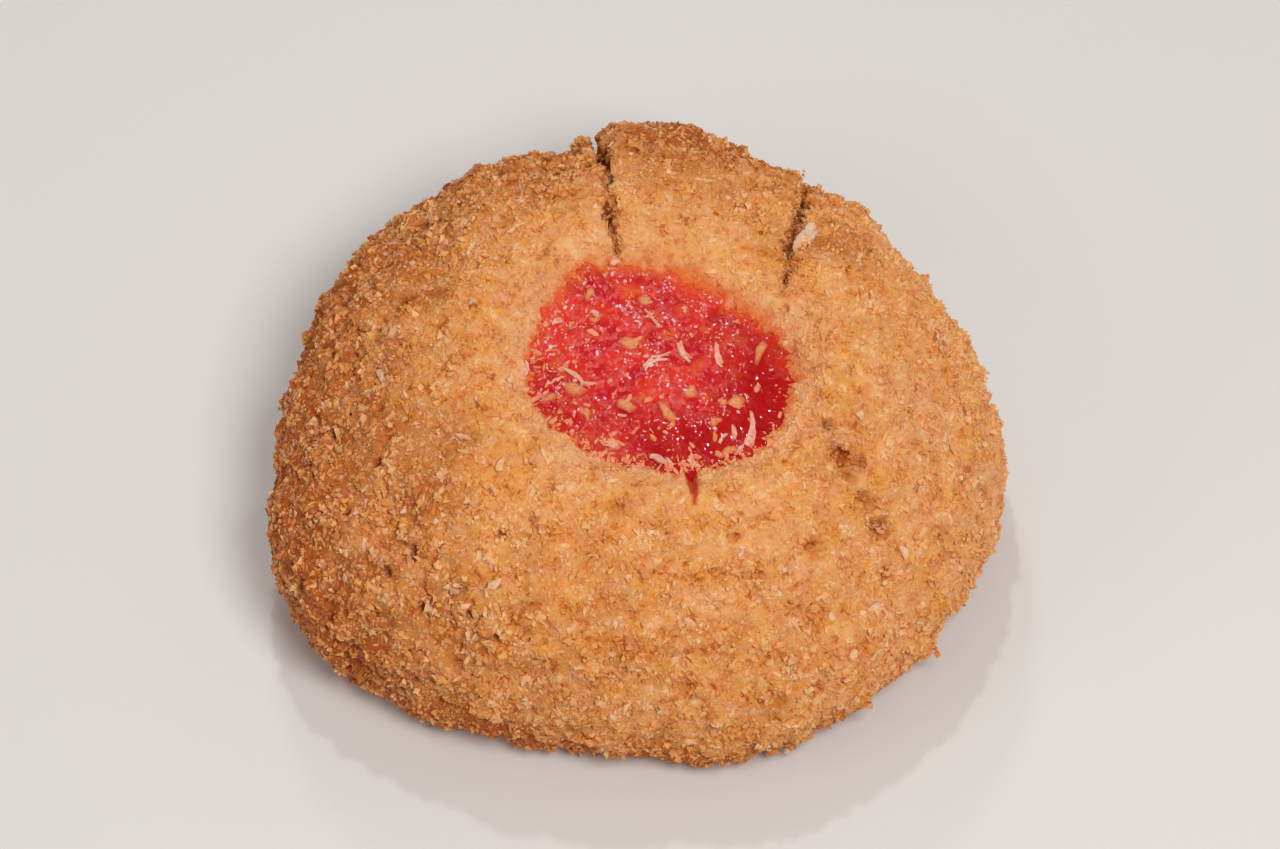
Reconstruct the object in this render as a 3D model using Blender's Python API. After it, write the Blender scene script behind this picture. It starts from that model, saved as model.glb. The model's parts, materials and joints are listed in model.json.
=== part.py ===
"""A coconut biscuit with a thumbprint of red jam.

The biscuit is one domed, crumbly solid that stands on its flat baked base. A shallow thumbprint is pressed
into its crown, splits open from the thumbprint, and flakes of desiccated coconut are stuck to its crust.
The jam is a second solid that fills the thumbprint and carries flakes of its own.
Units are metres, +Z is up, and the origin is at the middle of the base. The front of the biscuit faces -Y.
"""

import math
import random

import bmesh
import bpy
from mathutils import Euler, Matrix, Vector, noise
from mathutils.bvhtree import BVHTree

MM = 0.001
SEED = 7

# Driving sizes of the biscuit
RADIUS = 27.4 * MM  # of the widest ring
WAIST_HEIGHT = 8.3 * MM  # of the widest ring above the base
FOOT_RADIUS = 22.6 * MM  # of the flat base
CREST_RADIUS = 13.0 * MM  # of the crest round the thumbprint
CREST_HEIGHT = 21.6 * MM
DOME_POWER = 1.2  # 1 is a quarter ellipse from waist to crest, and more is a straighter flank

# Driving sizes of the thumbprint and its jam
PRINT_CENTRE = Vector((1.5 * MM, -1.1 * MM))
PRINT_DEPTH = 5.8 * MM  # from the crest to its floor
FLOOR_RADIUS = 3.0 * MM  # where the floor starts to rise
JAM_RADIUS = 9.7 * MM
JAM_GAP = 0.35 * MM  # between the jam and the biscuit
JAM_CROWN = 0.9 * MM  # how far the middle of the jam swells above its edge
JAM_LUMP = 0.28 * MM

# Where the stages of the profile meet, as shares of the way from the thumbprint's middle to the base's middle
CREST_AT = 0.30
WAIST_AT = 0.64
FOOT_AT = 0.84
PRINT_TO_OUTLINE = (0.225, 0.54)  # where the thumbprint's outline gives way to that of the widest ring

# Outline of the widest ring: (direction in degrees, spread in degrees, change of radius)
OUTLINE_SWELLS = (
    (0, 9, 0.6 * MM),
    (40, 26, -1.0 * MM),
    (104, 8, -0.7 * MM),
    (125, 18, 1.1 * MM),
    (165, 10, -0.4 * MM),
    (209, 16, 2.2 * MM),
    (262, 24, -2.5 * MM),
    (308, 18, -1.1 * MM),
)

# Outline of the thumbprint, as two and three lobes: (lobes, direction in degrees, change of radius)
PRINT_LOBES = ((2, -17, 0.38 * MM), (3, -35, 0.15 * MM))

# The crust between the two splits at the back stands proud: it rises from the first direction to the second,
# falls to the third, where it ends in a step at the left split
BACK_SLAB = (58, 91, 101)
BACK_SLAB_LIFT = 2.0 * MM
BACK_SLAB_STEP = 0.45  # share of the lift that is left at the step

# Uneven crust: (size of the lumps, their height)
CRUST_LUMPS = ((11.0 * MM, 1.1 * MM), (4.2 * MM, 0.55 * MM))
CRUMB_RELIEF = 0.16 * MM  # jitter of each point, for a crumbly face
FLAT_BELOW = 0.6 * MM  # no lumps lower than this, so that the base stays flat
LUMPS_FULL_ABOVE = 5.0 * MM
SMOOTH_PRINT = (0.216, 0.30)  # lumps come back between these places, as the pressed wall is smoother
PRINT_LUMPS = 0.15  # share of the lumps that is left in the thumbprint
RISE_FROM = 5.0 * MM  # height on the axis that lumps and lifts point away from

# Splits in the crust, each open at the surface and closing to a line in the dough: name, the points that it
# runs through (direction in degrees and place along the profile), its width at the surface and its depth
SPLITS = (
    (
        "back_left_split",
        ((107, 0.210), (109, 0.240), (106, 0.295), (103, 0.345), (100, 0.406), (97, 0.650)),
        0.95 * MM,
        3.2 * MM,
    ),
    (
        "back_right_split",
        ((36, 0.262), (42, 0.326), (49, 0.366), (51, 0.402), (55, 0.444), (60, 0.570)),
        0.95 * MM,
        2.8 * MM,
    ),
    ("front_nick", ((284, 0.215), (282, 0.300)), 0.85 * MM, 1.5 * MM),
    ("right_crevice", ((331, 0.275), (333, 0.332), (330, 0.392), (325, 0.425)), 0.9 * MM, 1.5 * MM),
    ("front_left_crease", ((238, 0.374), (243, 0.416), (248, 0.500)), 0.5 * MM, 0.7 * MM),
)
SPLIT_WANDER = 0.3 * MM  # how far a split strays from its line
SPLIT_STEP = 1.3 * MM  # between its sections
SPLIT_ENDS = 0.12  # a split's width follows a sine over its way, less this share at each end
SPLIT_UNEVEN = (0.75, 1.15)
SPLIT_RISE = 0.5  # how far its cutter stands above the crust, as a share of its depth

# Pits where crumbs have fallen out: (direction in degrees, place along the profile, radius)
PITS = (
    (160, 0.414, 0.75 * MM),
    (157, 0.386, 0.60 * MM),
    (158, 0.330, 0.55 * MM),
    (136, 0.502, 0.70 * MM),
    (118, 0.472, 0.60 * MM),
    (292, 0.380, 0.65 * MM),
    (306, 0.432, 0.75 * MM),
    (323, 0.450, 0.80 * MM),
    (300, 0.596, 0.60 * MM),
    (280, 0.574, 0.65 * MM),
    (22, 0.520, 0.65 * MM),
    (198, 0.420, 0.60 * MM),
    (82, 0.560, 0.60 * MM),
)

# Desiccated coconut: how many pieces lie on the crust and on the jam, and the size of the largest shred
CRUST_FLAKES = 58
CRUST_NODULES = 28
JAM_SHREDS = 10
JAM_CHIPS = 12
FLAKE_LENGTH = 3.4 * MM
FLAKE_WIDTH = 0.9 * MM
FLAKE_THICKNESS = 0.5 * MM
SMALLEST_SHARE = 0.5  # of the largest shred's size
NODULE_RADIUS = 0.85 * MM
CHIP_RADIUS = 1.1 * MM
CHIP_THICKNESS = 0.55 * MM
JAM_BARE = (5, 42)  # the part of the jam with nothing on it: its direction and half its spread, in degrees
JAM_BARE_OUT = 0.45  # the bare part starts at this share of the jam's radius
JAM_COVER = 0.80  # and nothing lies further out than this share

# Fineness of the two surfaces: cells along each edge of the cube that they start from
BISCUIT_CELLS = 21
JAM_CELLS = 10


def smooth_step(low, high, value):
    share = min(max((value - low) / (high - low), 0.0), 1.0)
    return share * share * (3.0 - 2.0 * share)


def mix(a, b, share):
    return a + (b - a) * share


def degrees_between(a, b):
    return abs((a - b + 180.0) % 360.0 - 180.0)


def profile(along):
    """Radius and height of the turned profile: thumbprint, dome, tuck under the waist, flat base."""
    if along < CREST_AT:
        radius = CREST_RADIUS * along / CREST_AT
        rise = smooth_step(FLOOR_RADIUS, CREST_RADIUS, radius)
        return radius, CREST_HEIGHT - PRINT_DEPTH * (1.0 - rise)
    if along < WAIST_AT:
        turn = math.pi / 2 * (WAIST_AT - along) / (WAIST_AT - CREST_AT)
        radius = CREST_RADIUS + (RADIUS - CREST_RADIUS) * max(math.cos(turn), 0.0) ** DOME_POWER
        return radius, WAIST_HEIGHT + (CREST_HEIGHT - WAIST_HEIGHT) * math.sin(turn) ** DOME_POWER
    if along < FOOT_AT:
        turn = math.pi / 2 * (along - WAIST_AT) / (FOOT_AT - WAIST_AT)
        radius = FOOT_RADIUS + (RADIUS - FOOT_RADIUS) * math.cos(turn)
        return radius, WAIST_HEIGHT * (1.0 - math.sin(turn))
    return FOOT_RADIUS * (1.0 - along) / (1.0 - FOOT_AT), 0.0


def outline_scale(direction):
    """The widest ring's radius in this direction, as a share of RADIUS."""
    change = sum(
        swell * math.exp(-((degrees_between(direction, at) / spread) ** 2))
        for at, spread, swell in OUTLINE_SWELLS
    )
    return 1.0 + change / RADIUS


def print_scale(direction):
    """The thumbprint's radius in this direction, as a share of JAM_RADIUS."""
    change = sum(
        swell * math.cos(lobes * math.radians(direction - at)) for lobes, at, swell in PRINT_LOBES
    )
    return 1.0 + change / JAM_RADIUS


def slab_lift(direction, along):
    """Lift of the crust between the back splits: it ends in a step at the left one and fades to the right."""
    low, top, edge = BACK_SLAB
    across = smooth_step(low, top, direction) * mix(1.0, BACK_SLAB_STEP, smooth_step(top, edge, direction))
    if direction > edge:
        across = 0.0
    down = smooth_step(CREST_AT, mix(CREST_AT, WAIST_AT, 0.5), along)
    return BACK_SLAB_LIFT * across * down * (1.0 - smooth_step(WAIST_AT, FOOT_AT, along))


def lumps(point):
    """Height of the uneven crust over the turned form, fading to nothing at the base."""
    height = sum(
        size * noise.noise(point / scale + Vector((SEED, 0, index)))
        for index, (scale, size) in enumerate(CRUST_LUMPS)
    )
    return height * smooth_step(FLAT_BELOW, LUMPS_FULL_ABOVE, point.z)


def crust_point(direction, along):
    """A point of the crust. direction is in degrees from +X, and along is the place on the profile."""
    radius, height = profile(along)
    outer = smooth_step(*PRINT_TO_OUTLINE, along)
    scale = mix(print_scale(direction), outline_scale(direction), outer)
    centre = PRINT_CENTRE * (1.0 - outer)
    angle = math.radians(direction)
    flat = centre + Vector((math.cos(angle), math.sin(angle))) * radius * scale
    point = Vector((flat.x, flat.y, height))
    outward = (point - Vector((0, 0, RISE_FROM))).normalized()
    share = mix(PRINT_LUMPS, 1.0, smooth_step(*SMOOTH_PRINT, along))
    point += outward * (lumps(point) * share + slab_lift(direction, along))
    point.z = max(point.z, 0.0)
    return point


def crust_normal(direction, along):
    """The outward normal of crust_point, from two short steps along the surface."""
    step = 0.004
    down = crust_point(direction, along + step) - crust_point(direction, along - step)
    round_it = crust_point(direction + 1.0, along) - crust_point(direction - 1.0, along)
    return down.cross(round_it).normalized()


def new_mesh_object(name, mesh_data, collection):
    mesh = bpy.data.meshes.new(name)
    mesh_data.to_mesh(mesh)
    mesh_data.free()
    made = bpy.data.objects.new(name, mesh)
    collection.objects.link(made)
    return made


def ball_directions(cells):
    """A ball of even cells, made from a cube: each point's direction places it on a rounded form."""
    ball = bmesh.new()
    bmesh.ops.create_cube(ball, size=2.0)
    bmesh.ops.subdivide_edges(ball, edges=ball.edges[:], cuts=cells - 1, use_grid_fill=True)
    quarter = math.pi / 4
    for vert in ball.verts:
        # Even angles instead of even lengths, so that the cells come out alike on the ball
        vert.co = Vector([math.tan(value * quarter) for value in vert.co]).normalized()
    return ball


def add_biscuit_core(collection):
    """The dough alone: the turned form with its lumps, slab and crumbly face."""
    draw = random.Random(SEED)
    core = ball_directions(BISCUIT_CELLS)
    for vert in core.verts:
        along = math.acos(max(-1.0, min(1.0, vert.co.z))) / math.pi
        direction = math.degrees(math.atan2(vert.co.y, vert.co.x)) % 360.0
        point = crust_point(direction, along)
        jitter = CRUMB_RELIEF * draw.uniform(-1.0, 1.0)
        if FLAT_BELOW < point.z and along > CREST_AT:
            point += crust_normal(direction, along) * jitter
        vert.co = point
    bmesh.ops.triangulate(core, faces=core.faces[:])
    bmesh.ops.recalc_face_normals(core, faces=core.faces[:])
    return new_mesh_object("biscuit", core, collection)


def split_places(way, step):
    """Evenly spaced places along a split: direction, place along the profile and share of the way."""
    legs = []
    for near, far in zip(way, way[1:]):
        legs.append((crust_point(*far) - crust_point(*near)).length)
    count = max(3, round(sum(legs) / step))
    places = []
    for index in range(count + 1):
        left = sum(legs) * index / count
        leg = 0
        while leg < len(legs) - 1 and left > legs[leg]:
            left -= legs[leg]
            leg += 1
        share = min(left / legs[leg], 1.0)
        direction = mix(way[leg][0], way[leg + 1][0], share)
        places.append((direction, mix(way[leg][1], way[leg + 1][1], share), index / count))
    return places


def add_split_cutter(split, collection):
    """A wedge that follows the crust: its ridge lies in the dough, and its wide side stands clear of it."""
    name, way, width, depth = split
    draw = random.Random(name)
    wedge = bmesh.new()
    sections = []
    for direction, along, share in split_places(way, SPLIT_STEP):
        point = crust_point(direction, along)
        normal = crust_normal(direction, along)
        across = normal.cross(way_ahead(way)).normalized()
        fullness = math.sin(math.pi * mix(SPLIT_ENDS, 1.0 - SPLIT_ENDS, share)) ** 0.7
        fullness *= draw.uniform(*SPLIT_UNEVEN)
        middle = point + across * SPLIT_WANDER * draw.uniform(-1.0, 1.0)
        half = across * width * fullness / 2
        # The wedge's sides carry on past the surface, so the split is as wide as stated there
        above = depth * SPLIT_RISE
        flare = 1.0 + SPLIT_RISE / fullness
        sections.append(
            [
                wedge.verts.new(middle - half * flare + normal * above),
                wedge.verts.new(middle + half * flare + normal * above),
                wedge.verts.new(middle - normal * depth * fullness),
            ]
        )
    for near, far in zip(sections, sections[1:]):
        for corner in range(3):
            following = (corner + 1) % 3
            wedge.faces.new((near[corner], near[following], far[following], far[corner]))
    wedge.faces.new(sections[0][::-1])
    wedge.faces.new(sections[-1])
    bmesh.ops.triangulate(wedge, faces=wedge.faces[:])
    bmesh.ops.recalc_face_normals(wedge, faces=wedge.faces[:])
    return new_mesh_object(name, wedge, collection)


def way_ahead(way):
    """The direction in space that a split runs in, from its first point to its last."""
    return (crust_point(*way[-1]) - crust_point(*way[0])).normalized()


def add_pit_cutter(index, pit, collection):
    """A rough little ball sunk into the crust."""
    direction, along, radius = pit
    draw = random.Random(f"pit {index}")
    ball = bmesh.new()
    bmesh.ops.create_icosphere(ball, subdivisions=1, radius=radius)
    for vert in ball.verts:
        vert.co *= draw.uniform(0.8, 1.2)
    sunk = crust_point(direction, along) - crust_normal(direction, along) * radius * 0.3
    bmesh.ops.translate(ball, verts=ball.verts[:], vec=sunk)
    return new_mesh_object(f"pit_{index}", ball, collection)


def flake_mesh(length, width, thickness, bend, curl, twist):
    """One strip of coconut along X, tapered to its ends, bent sideways, curled upwards and twisted."""
    flake = bmesh.new()
    bmesh.ops.create_cube(flake, size=1.0)
    lengthwise = [edge for edge in flake.edges if abs(edge.verts[0].co.x - edge.verts[1].co.x) > 0.5]
    bmesh.ops.subdivide_edges(flake, edges=lengthwise, cuts=2)
    for vert in flake.verts:
        share = vert.co.x * 2.0
        taper = 1.0 - 0.45 * share * share
        rolled = Matrix.Rotation(twist * share, 3, "X") @ Vector(
            (0.0, vert.co.y * width * taper, vert.co.z * thickness)
        )
        vert.co = Vector(
            (
                vert.co.x * length,
                rolled.y + bend * length * share * share,
                rolled.z + curl * length * share * share,
            )
        )
    bmesh.ops.triangulate(flake, faces=flake.faces[:])
    return flake


def rough_ball_mesh(radius, draw, flatness=1.0):
    """One rough crumb, or a chip where it is flattened."""
    ball = bmesh.new()
    bmesh.ops.create_icosphere(ball, subdivisions=1, radius=radius)
    for vert in ball.verts:
        vert.co *= draw.uniform(0.72, 1.2)
        vert.co.z *= flatness
    return ball


def crust_topping(index, draw):
    """A shred, the largest first, or after them a rough crumb, with the depth that it sinks in."""
    if index < CRUST_FLAKES:
        share = mix(1.0, SMALLEST_SHARE, index / CRUST_FLAKES)
        shred = flake_mesh(
            FLAKE_LENGTH * share * draw.uniform(0.85, 1.1),
            FLAKE_WIDTH * mix(share, 1.0, 0.5),
            FLAKE_THICKNESS,
            draw.uniform(-0.2, 0.2),
            draw.uniform(-0.02, 0.07),
            draw.uniform(-0.5, 0.5),
        )
        return shred, -0.12 * FLAKE_THICKNESS
    radius = NODULE_RADIUS * draw.uniform(0.7, 1.0)
    return rough_ball_mesh(radius, draw), radius * 0.3


def jam_topping(index, draw):
    """A pale shred or a flat chip, with the depth that it sinks in."""
    if index % 2 == 0 and index < 2 * JAM_SHREDS:
        shred = flake_mesh(
            FLAKE_LENGTH * draw.uniform(0.6, 0.9),
            FLAKE_WIDTH * draw.uniform(0.65, 0.9),
            FLAKE_THICKNESS,
            draw.uniform(-0.25, 0.25),
            draw.uniform(0.0, 0.05),
            draw.uniform(-0.4, 0.4),
        )
        return shred, -0.12 * FLAKE_THICKNESS
    radius = CHIP_RADIUS * draw.uniform(0.75, 1.1)
    return rough_ball_mesh(radius, draw, CHIP_THICKNESS / (2 * CHIP_RADIUS)), 0.0


def spread_places(count, low, high, draw, tries=40):
    """Directions and places along the profile, kept apart: of several draws, the furthest off wins."""
    chosen = []
    for _ in range(count):
        best, best_gap = None, -1.0
        for _ in range(tries):
            place = (draw.uniform(0.0, 360.0), mix(low, high, draw.random() ** 0.75))
            point = crust_point(*place)
            gap = min(((point - other).length for _, other in chosen), default=1.0)
            if gap > best_gap:
                best, best_gap = (place, point), gap
        chosen.append(best)
    return [place for place, _ in chosen]


def near_split(direction, along, clearance=2.0 * MM):
    """True where a topping would bridge a split."""
    point = crust_point(direction, along)
    for _, way, _, _ in SPLITS:
        for on_split_direction, on_split_along, _ in split_places(way, clearance):
            if (crust_point(on_split_direction, on_split_along) - point).length < clearance:
                return True
    return False


def laid_on(tree, above, towards, yaw, tilt, sink):
    """The placing of a piece that lies on a surface where a ray meets it, and sinks in a little."""
    hit, normal, _, _ = tree.ray_cast(above, towards)
    turned = normal.to_track_quat("Z", "Y").to_matrix() @ Euler((tilt, 0.0, yaw)).to_matrix()
    return Matrix.Translation(hit - normal * sink) @ turned.to_4x4()


def surface_tree(target):
    shape = bmesh.new()
    shape.from_mesh(target.data)
    tree = BVHTree.FromBMesh(shape)
    shape.free()
    return tree


def add_crust_toppings(core, collection):
    """Shreds and rough crumbs, spread over the crust from the crest to below the waist."""
    draw = random.Random(SEED + 1)
    tree = surface_tree(core)
    places = spread_places(CRUST_FLAKES + CRUST_NODULES, CREST_AT + 0.035, WAIST_AT + 0.10, draw)
    for index, (direction, along) in enumerate(places):
        if near_split(direction, along):
            continue
        point, normal = crust_point(direction, along), crust_normal(direction, along)
        topping, sink = crust_topping(index, draw)
        yaw, tilt = draw.uniform(0.0, math.tau), draw.uniform(-0.25, 0.25)
        placing = laid_on(tree, point + normal * 4 * MM, -normal, yaw, tilt, sink)
        bmesh.ops.transform(topping, matrix=placing, verts=topping.verts[:])
        new_mesh_object(f"topping_{index}", topping, collection)


def jam_edge_at():
    """Where along the profile the jam's edge meets the thumbprint's wall."""
    return CREST_AT * JAM_RADIUS / CREST_RADIUS


def add_jam_core(collection):
    """The jam: its underside follows the thumbprint at JAM_GAP, and its top swells a little and is lumpy."""
    edge = jam_edge_at()
    jam = ball_directions(JAM_CELLS)
    for vert in jam.verts:
        tilt = math.acos(max(-1.0, min(1.0, vert.co.z))) / math.pi
        direction = math.degrees(math.atan2(vert.co.y, vert.co.x)) % 360.0
        under = tilt > 0.5
        out = 2.0 * (1.0 - tilt) if under else 2.0 * tilt
        along = edge * out
        on_wall = crust_point(direction, along) + crust_normal(direction, max(along, 0.01)) * JAM_GAP
        if under:
            vert.co = on_wall
            continue
        rim = crust_point(direction, edge) + crust_normal(direction, edge) * JAM_GAP
        flat = Vector((mix(PRINT_CENTRE.x, rim.x, out), mix(PRINT_CENTRE.y, rim.y, out)))
        level = CREST_HEIGHT - PRINT_DEPTH * (1.0 - smooth_step(FLOOR_RADIUS, CREST_RADIUS, JAM_RADIUS))
        swell = JAM_CROWN * (1.0 - out**2)
        lump = JAM_LUMP * noise.noise(Vector((flat.x, flat.y, 0.0)) / (1.9 * MM)) * (1.0 - out**4)
        vert.co = Vector((flat.x, flat.y, mix(level, rim.z, out**2) + swell + lump))
    bmesh.ops.triangulate(jam, faces=jam.faces[:])
    bmesh.ops.recalc_face_normals(jam, faces=jam.faces[:])
    return new_mesh_object("jam", jam, collection)


def add_jam_toppings(core, collection):
    """Shreds and chips that lie on the jam, inside its edge, with one part of it left bare."""
    draw = random.Random(SEED + 2)
    tree = surface_tree(core)
    golden_angle = 180.0 * (3.0 - math.sqrt(5.0))
    bare_at, bare_spread = JAM_BARE
    count = JAM_SHREDS + JAM_CHIPS
    for index in range(count):
        out = JAM_COVER * math.sqrt((index + 0.5) / count)
        turn = index * golden_angle
        if out > JAM_BARE_OUT and degrees_between(turn, bare_at) < bare_spread:
            continue
        angle = math.radians(turn)
        flat = PRINT_CENTRE + Vector((math.cos(angle), math.sin(angle))) * JAM_RADIUS * out
        topping, sink = jam_topping(index, draw)
        above = Vector((flat.x, flat.y, CREST_HEIGHT * 2))
        yaw, tilt = draw.uniform(0.0, math.tau), draw.uniform(-0.15, 0.15)
        placing = laid_on(tree, above, Vector((0, 0, -1)), yaw, tilt, sink)
        bmesh.ops.transform(topping, matrix=placing, verts=topping.verts[:])
        new_mesh_object(f"jam_topping_{index}", topping, collection)


def apply_boolean(target, operation, collection):
    """Joins a whole collection to the target, or cuts it away, then removes that collection's objects."""
    modifier = target.modifiers.new(operation.lower(), "BOOLEAN")
    modifier.operation = operation
    modifier.operand_type = "COLLECTION"
    modifier.collection = collection
    graph = bpy.context.evaluated_depsgraph_get()
    joined = bpy.data.meshes.new_from_object(target.evaluated_get(graph))
    target.modifiers.clear()
    target.data = joined
    for used in list(collection.objects):
        bpy.data.objects.remove(used)
    bpy.data.collections.remove(collection)


def keep_largest_shell(target):
    """Drops loose scraps that a cut or a join has left."""
    whole = bmesh.new()
    whole.from_mesh(target.data)
    unseen = set(whole.verts)
    shells = []
    while unseen:
        start = unseen.pop()
        shell, front = {start}, [start]
        while front:
            for edge in front.pop().link_edges:
                for vert in edge.verts:
                    if vert in unseen:
                        unseen.discard(vert)
                        shell.add(vert)
                        front.append(vert)
        shells.append(shell)
    largest = max(shells, key=len)
    scraps = [vert for vert in whole.verts if vert not in largest]
    bmesh.ops.delete(whole, geom=scraps, context="VERTS")
    whole.to_mesh(target.data)
    whole.free()


def give_material(target, name, colour, roughness, coat=0.0):
    material = bpy.data.materials.new(name)
    material.use_nodes = True
    shader = material.node_tree.nodes["Principled BSDF"]
    shader.inputs["Base Color"].default_value = (*colour, 1.0)
    shader.inputs["Roughness"].default_value = roughness
    shader.inputs["Coat Weight"].default_value = coat
    target.data.materials.clear()
    target.data.materials.append(material)
    target.data.shade_smooth()
    target.data.set_sharp_from_angle(angle=math.radians(35))


def stand_at_origin(parts):
    """Moves all parts together, so that the middle of their common base box is the origin."""
    corners = [part.matrix_world @ vert.co for part in parts for vert in part.data.vertices]
    middle = [
        (min(point[axis] for point in corners) + max(point[axis] for point in corners)) / 2
        for axis in range(2)
    ]
    lowest = min(point.z for point in corners)
    for part in parts:
        part.data.transform(Matrix.Translation((-middle[0], -middle[1], -lowest)))


def new_collection(name):
    collection = bpy.data.collections.new(name)
    bpy.context.scene.collection.children.link(collection)
    return collection


def build_biscuit(collection):
    biscuit = add_biscuit_core(collection)
    toppings = new_collection("crust_toppings")
    add_crust_toppings(biscuit, toppings)
    cutters = new_collection("splits_and_pits")
    for split in SPLITS:
        add_split_cutter(split, cutters)
    for index, pit in enumerate(PITS):
        add_pit_cutter(index, pit, cutters)
    apply_boolean(biscuit, "DIFFERENCE", cutters)
    apply_boolean(biscuit, "UNION", toppings)
    keep_largest_shell(biscuit)
    give_material(biscuit, "baked_crust", (0.66, 0.28, 0.10), 0.85)
    return biscuit


def build_jam(collection):
    jam = add_jam_core(collection)
    toppings = new_collection("jam_toppings")
    add_jam_toppings(jam, toppings)
    apply_boolean(jam, "UNION", toppings)
    keep_largest_shell(jam)
    give_material(jam, "red_jam", (0.55, 0.03, 0.03), 0.15, coat=0.6)
    return jam


def main():
    for leftover in list(bpy.data.objects):
        bpy.data.objects.remove(leftover)
    collection = new_collection("coconut_biscuit")
    parts = [build_biscuit(collection), build_jam(collection)]
    stand_at_origin(parts)


main()
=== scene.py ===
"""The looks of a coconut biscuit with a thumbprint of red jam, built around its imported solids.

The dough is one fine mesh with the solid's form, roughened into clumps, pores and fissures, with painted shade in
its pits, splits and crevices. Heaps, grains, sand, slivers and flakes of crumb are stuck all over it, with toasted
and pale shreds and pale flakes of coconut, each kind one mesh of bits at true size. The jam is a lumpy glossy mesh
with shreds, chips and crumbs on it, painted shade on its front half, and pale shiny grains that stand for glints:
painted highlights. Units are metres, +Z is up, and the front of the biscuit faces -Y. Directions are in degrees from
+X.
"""

import json
import math
import random

import bmesh
import bpy
import numpy as np
from mathutils import Matrix, Vector, noise
from mathutils.bvhtree import BVHTree

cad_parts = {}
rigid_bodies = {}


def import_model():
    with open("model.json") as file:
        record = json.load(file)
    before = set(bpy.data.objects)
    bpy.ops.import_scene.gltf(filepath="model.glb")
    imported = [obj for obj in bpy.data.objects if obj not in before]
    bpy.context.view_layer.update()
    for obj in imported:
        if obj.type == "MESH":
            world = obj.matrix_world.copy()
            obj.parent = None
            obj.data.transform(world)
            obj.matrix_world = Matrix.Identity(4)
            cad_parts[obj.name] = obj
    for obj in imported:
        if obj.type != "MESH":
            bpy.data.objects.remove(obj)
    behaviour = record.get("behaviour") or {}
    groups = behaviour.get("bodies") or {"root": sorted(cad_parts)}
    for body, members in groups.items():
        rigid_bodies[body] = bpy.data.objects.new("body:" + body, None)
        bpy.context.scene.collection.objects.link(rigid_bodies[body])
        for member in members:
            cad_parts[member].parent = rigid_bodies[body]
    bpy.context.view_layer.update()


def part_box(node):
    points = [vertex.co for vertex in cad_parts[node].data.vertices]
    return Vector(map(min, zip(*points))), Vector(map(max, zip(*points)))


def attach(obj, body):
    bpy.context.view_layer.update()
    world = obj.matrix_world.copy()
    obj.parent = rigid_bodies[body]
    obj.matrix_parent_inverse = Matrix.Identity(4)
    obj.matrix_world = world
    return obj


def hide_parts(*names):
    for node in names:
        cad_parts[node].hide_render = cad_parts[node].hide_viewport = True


MM = 0.001
SEED = 7
noise.seed_set(SEED)  # noise_vector follows it, and without it the clock

# Driving sizes of the biscuit, the same as in its solids
RADIUS = 27.4 * MM
WAIST_HEIGHT = 8.3 * MM
FOOT_RADIUS = 22.6 * MM
CREST_RADIUS = 13.0 * MM
CREST_HEIGHT = 21.6 * MM
DOME_POWER = 1.2

# Driving sizes of the thumbprint and its jam
PRINT_CENTRE = Vector((1.5 * MM, -1.1 * MM))
PRINT_DEPTH = 5.8 * MM
FLOOR_RADIUS = 3.0 * MM
JAM_RADIUS = 9.7 * MM
JAM_GAP = 0.35 * MM
JAM_CROWN = 0.9 * MM

# Where the stages of the profile meet, as shares of the way from the thumbprint's middle to the base's middle
CREST_AT = 0.30
WAIST_AT = 0.64
FOOT_AT = 0.84
PRINT_TO_OUTLINE = (0.225, 0.54)

# Outline of the widest ring: direction and spread in degrees, and change of radius in mm
OUTLINE_SWELLS = (
    (0, 9, 0.6),
    (40, 26, -1.0),
    (104, 8, -0.7),
    (125, 18, 1.1),
    (165, 10, -0.4),
    (209, 16, 2.2),
    (262, 24, -2.5),
    (308, 18, -1.1),
)
PRINT_LOBES = ((2, -17, 0.38 * MM), (3, -35, 0.15 * MM))

# The crust that stands proud between the two back splits, and the lumps of the crust
BACK_SLAB = (58, 91, 101)
BACK_SLAB_LIFT = 2.0 * MM
BACK_SLAB_STEP = 0.45
CRUST_LUMPS = ((11.0 * MM, 1.1 * MM), (4.2 * MM, 0.55 * MM))
FLAT_BELOW = 0.6 * MM
LUMPS_FULL_ABOVE = 5.0 * MM
SMOOTH_PRINT = (0.216, 0.30)
PRINT_LUMPS = 0.15
RISE_FROM = 5.0 * MM

# Splits: the points that each runs through (direction and place along the profile), width and depth in mm
SPLITS = (
    (((107, 0.210), (109, 0.240), (106, 0.295), (103, 0.345), (100, 0.406), (97, 0.650)), 1.15, 3.4),
    (((36, 0.262), (42, 0.326), (49, 0.366), (51, 0.402), (55, 0.444), (60, 0.570)), 1.35, 2.8),
    (((286, 0.160), (283, 0.240), (282, 0.318)), 1.20, 1.1),
    (((334, 0.276), (337, 0.332)), 0.95, 1.3),
    (((333, 0.336), (331, 0.366), (333, 0.402)), 1.80, 1.9),
    (((326, 0.378), (328, 0.412)), 0.90, 1.0),
    (((325, 0.414), (327, 0.448)), 1.45, 1.7),
    (((323, 0.454), (326, 0.486)), 1.60, 1.7),
    (((238, 0.374), (243, 0.416), (248, 0.500)), 0.50, 0.9),
)
NICK = 2  # the short split at the front of the jam, soaked with it
SPLIT_STEP = 0.55 * MM  # between its cutter's sections
SPLIT_ENDS = 0.12  # a split's width follows a sine over its way, less this share at each end
SPLIT_UNEVEN = (0.75, 1.3)
SPLIT_WANDER, NICK_WANDER = 0.28, 0.05  # how far it strays from its line, in mm
SPLIT_RISE = 0.5  # how far its cutter stands above the crust, as a share of its depth
NICK_FULL = (1.0, 0.45)  # the nick's width at the jam and at its tip
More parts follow.
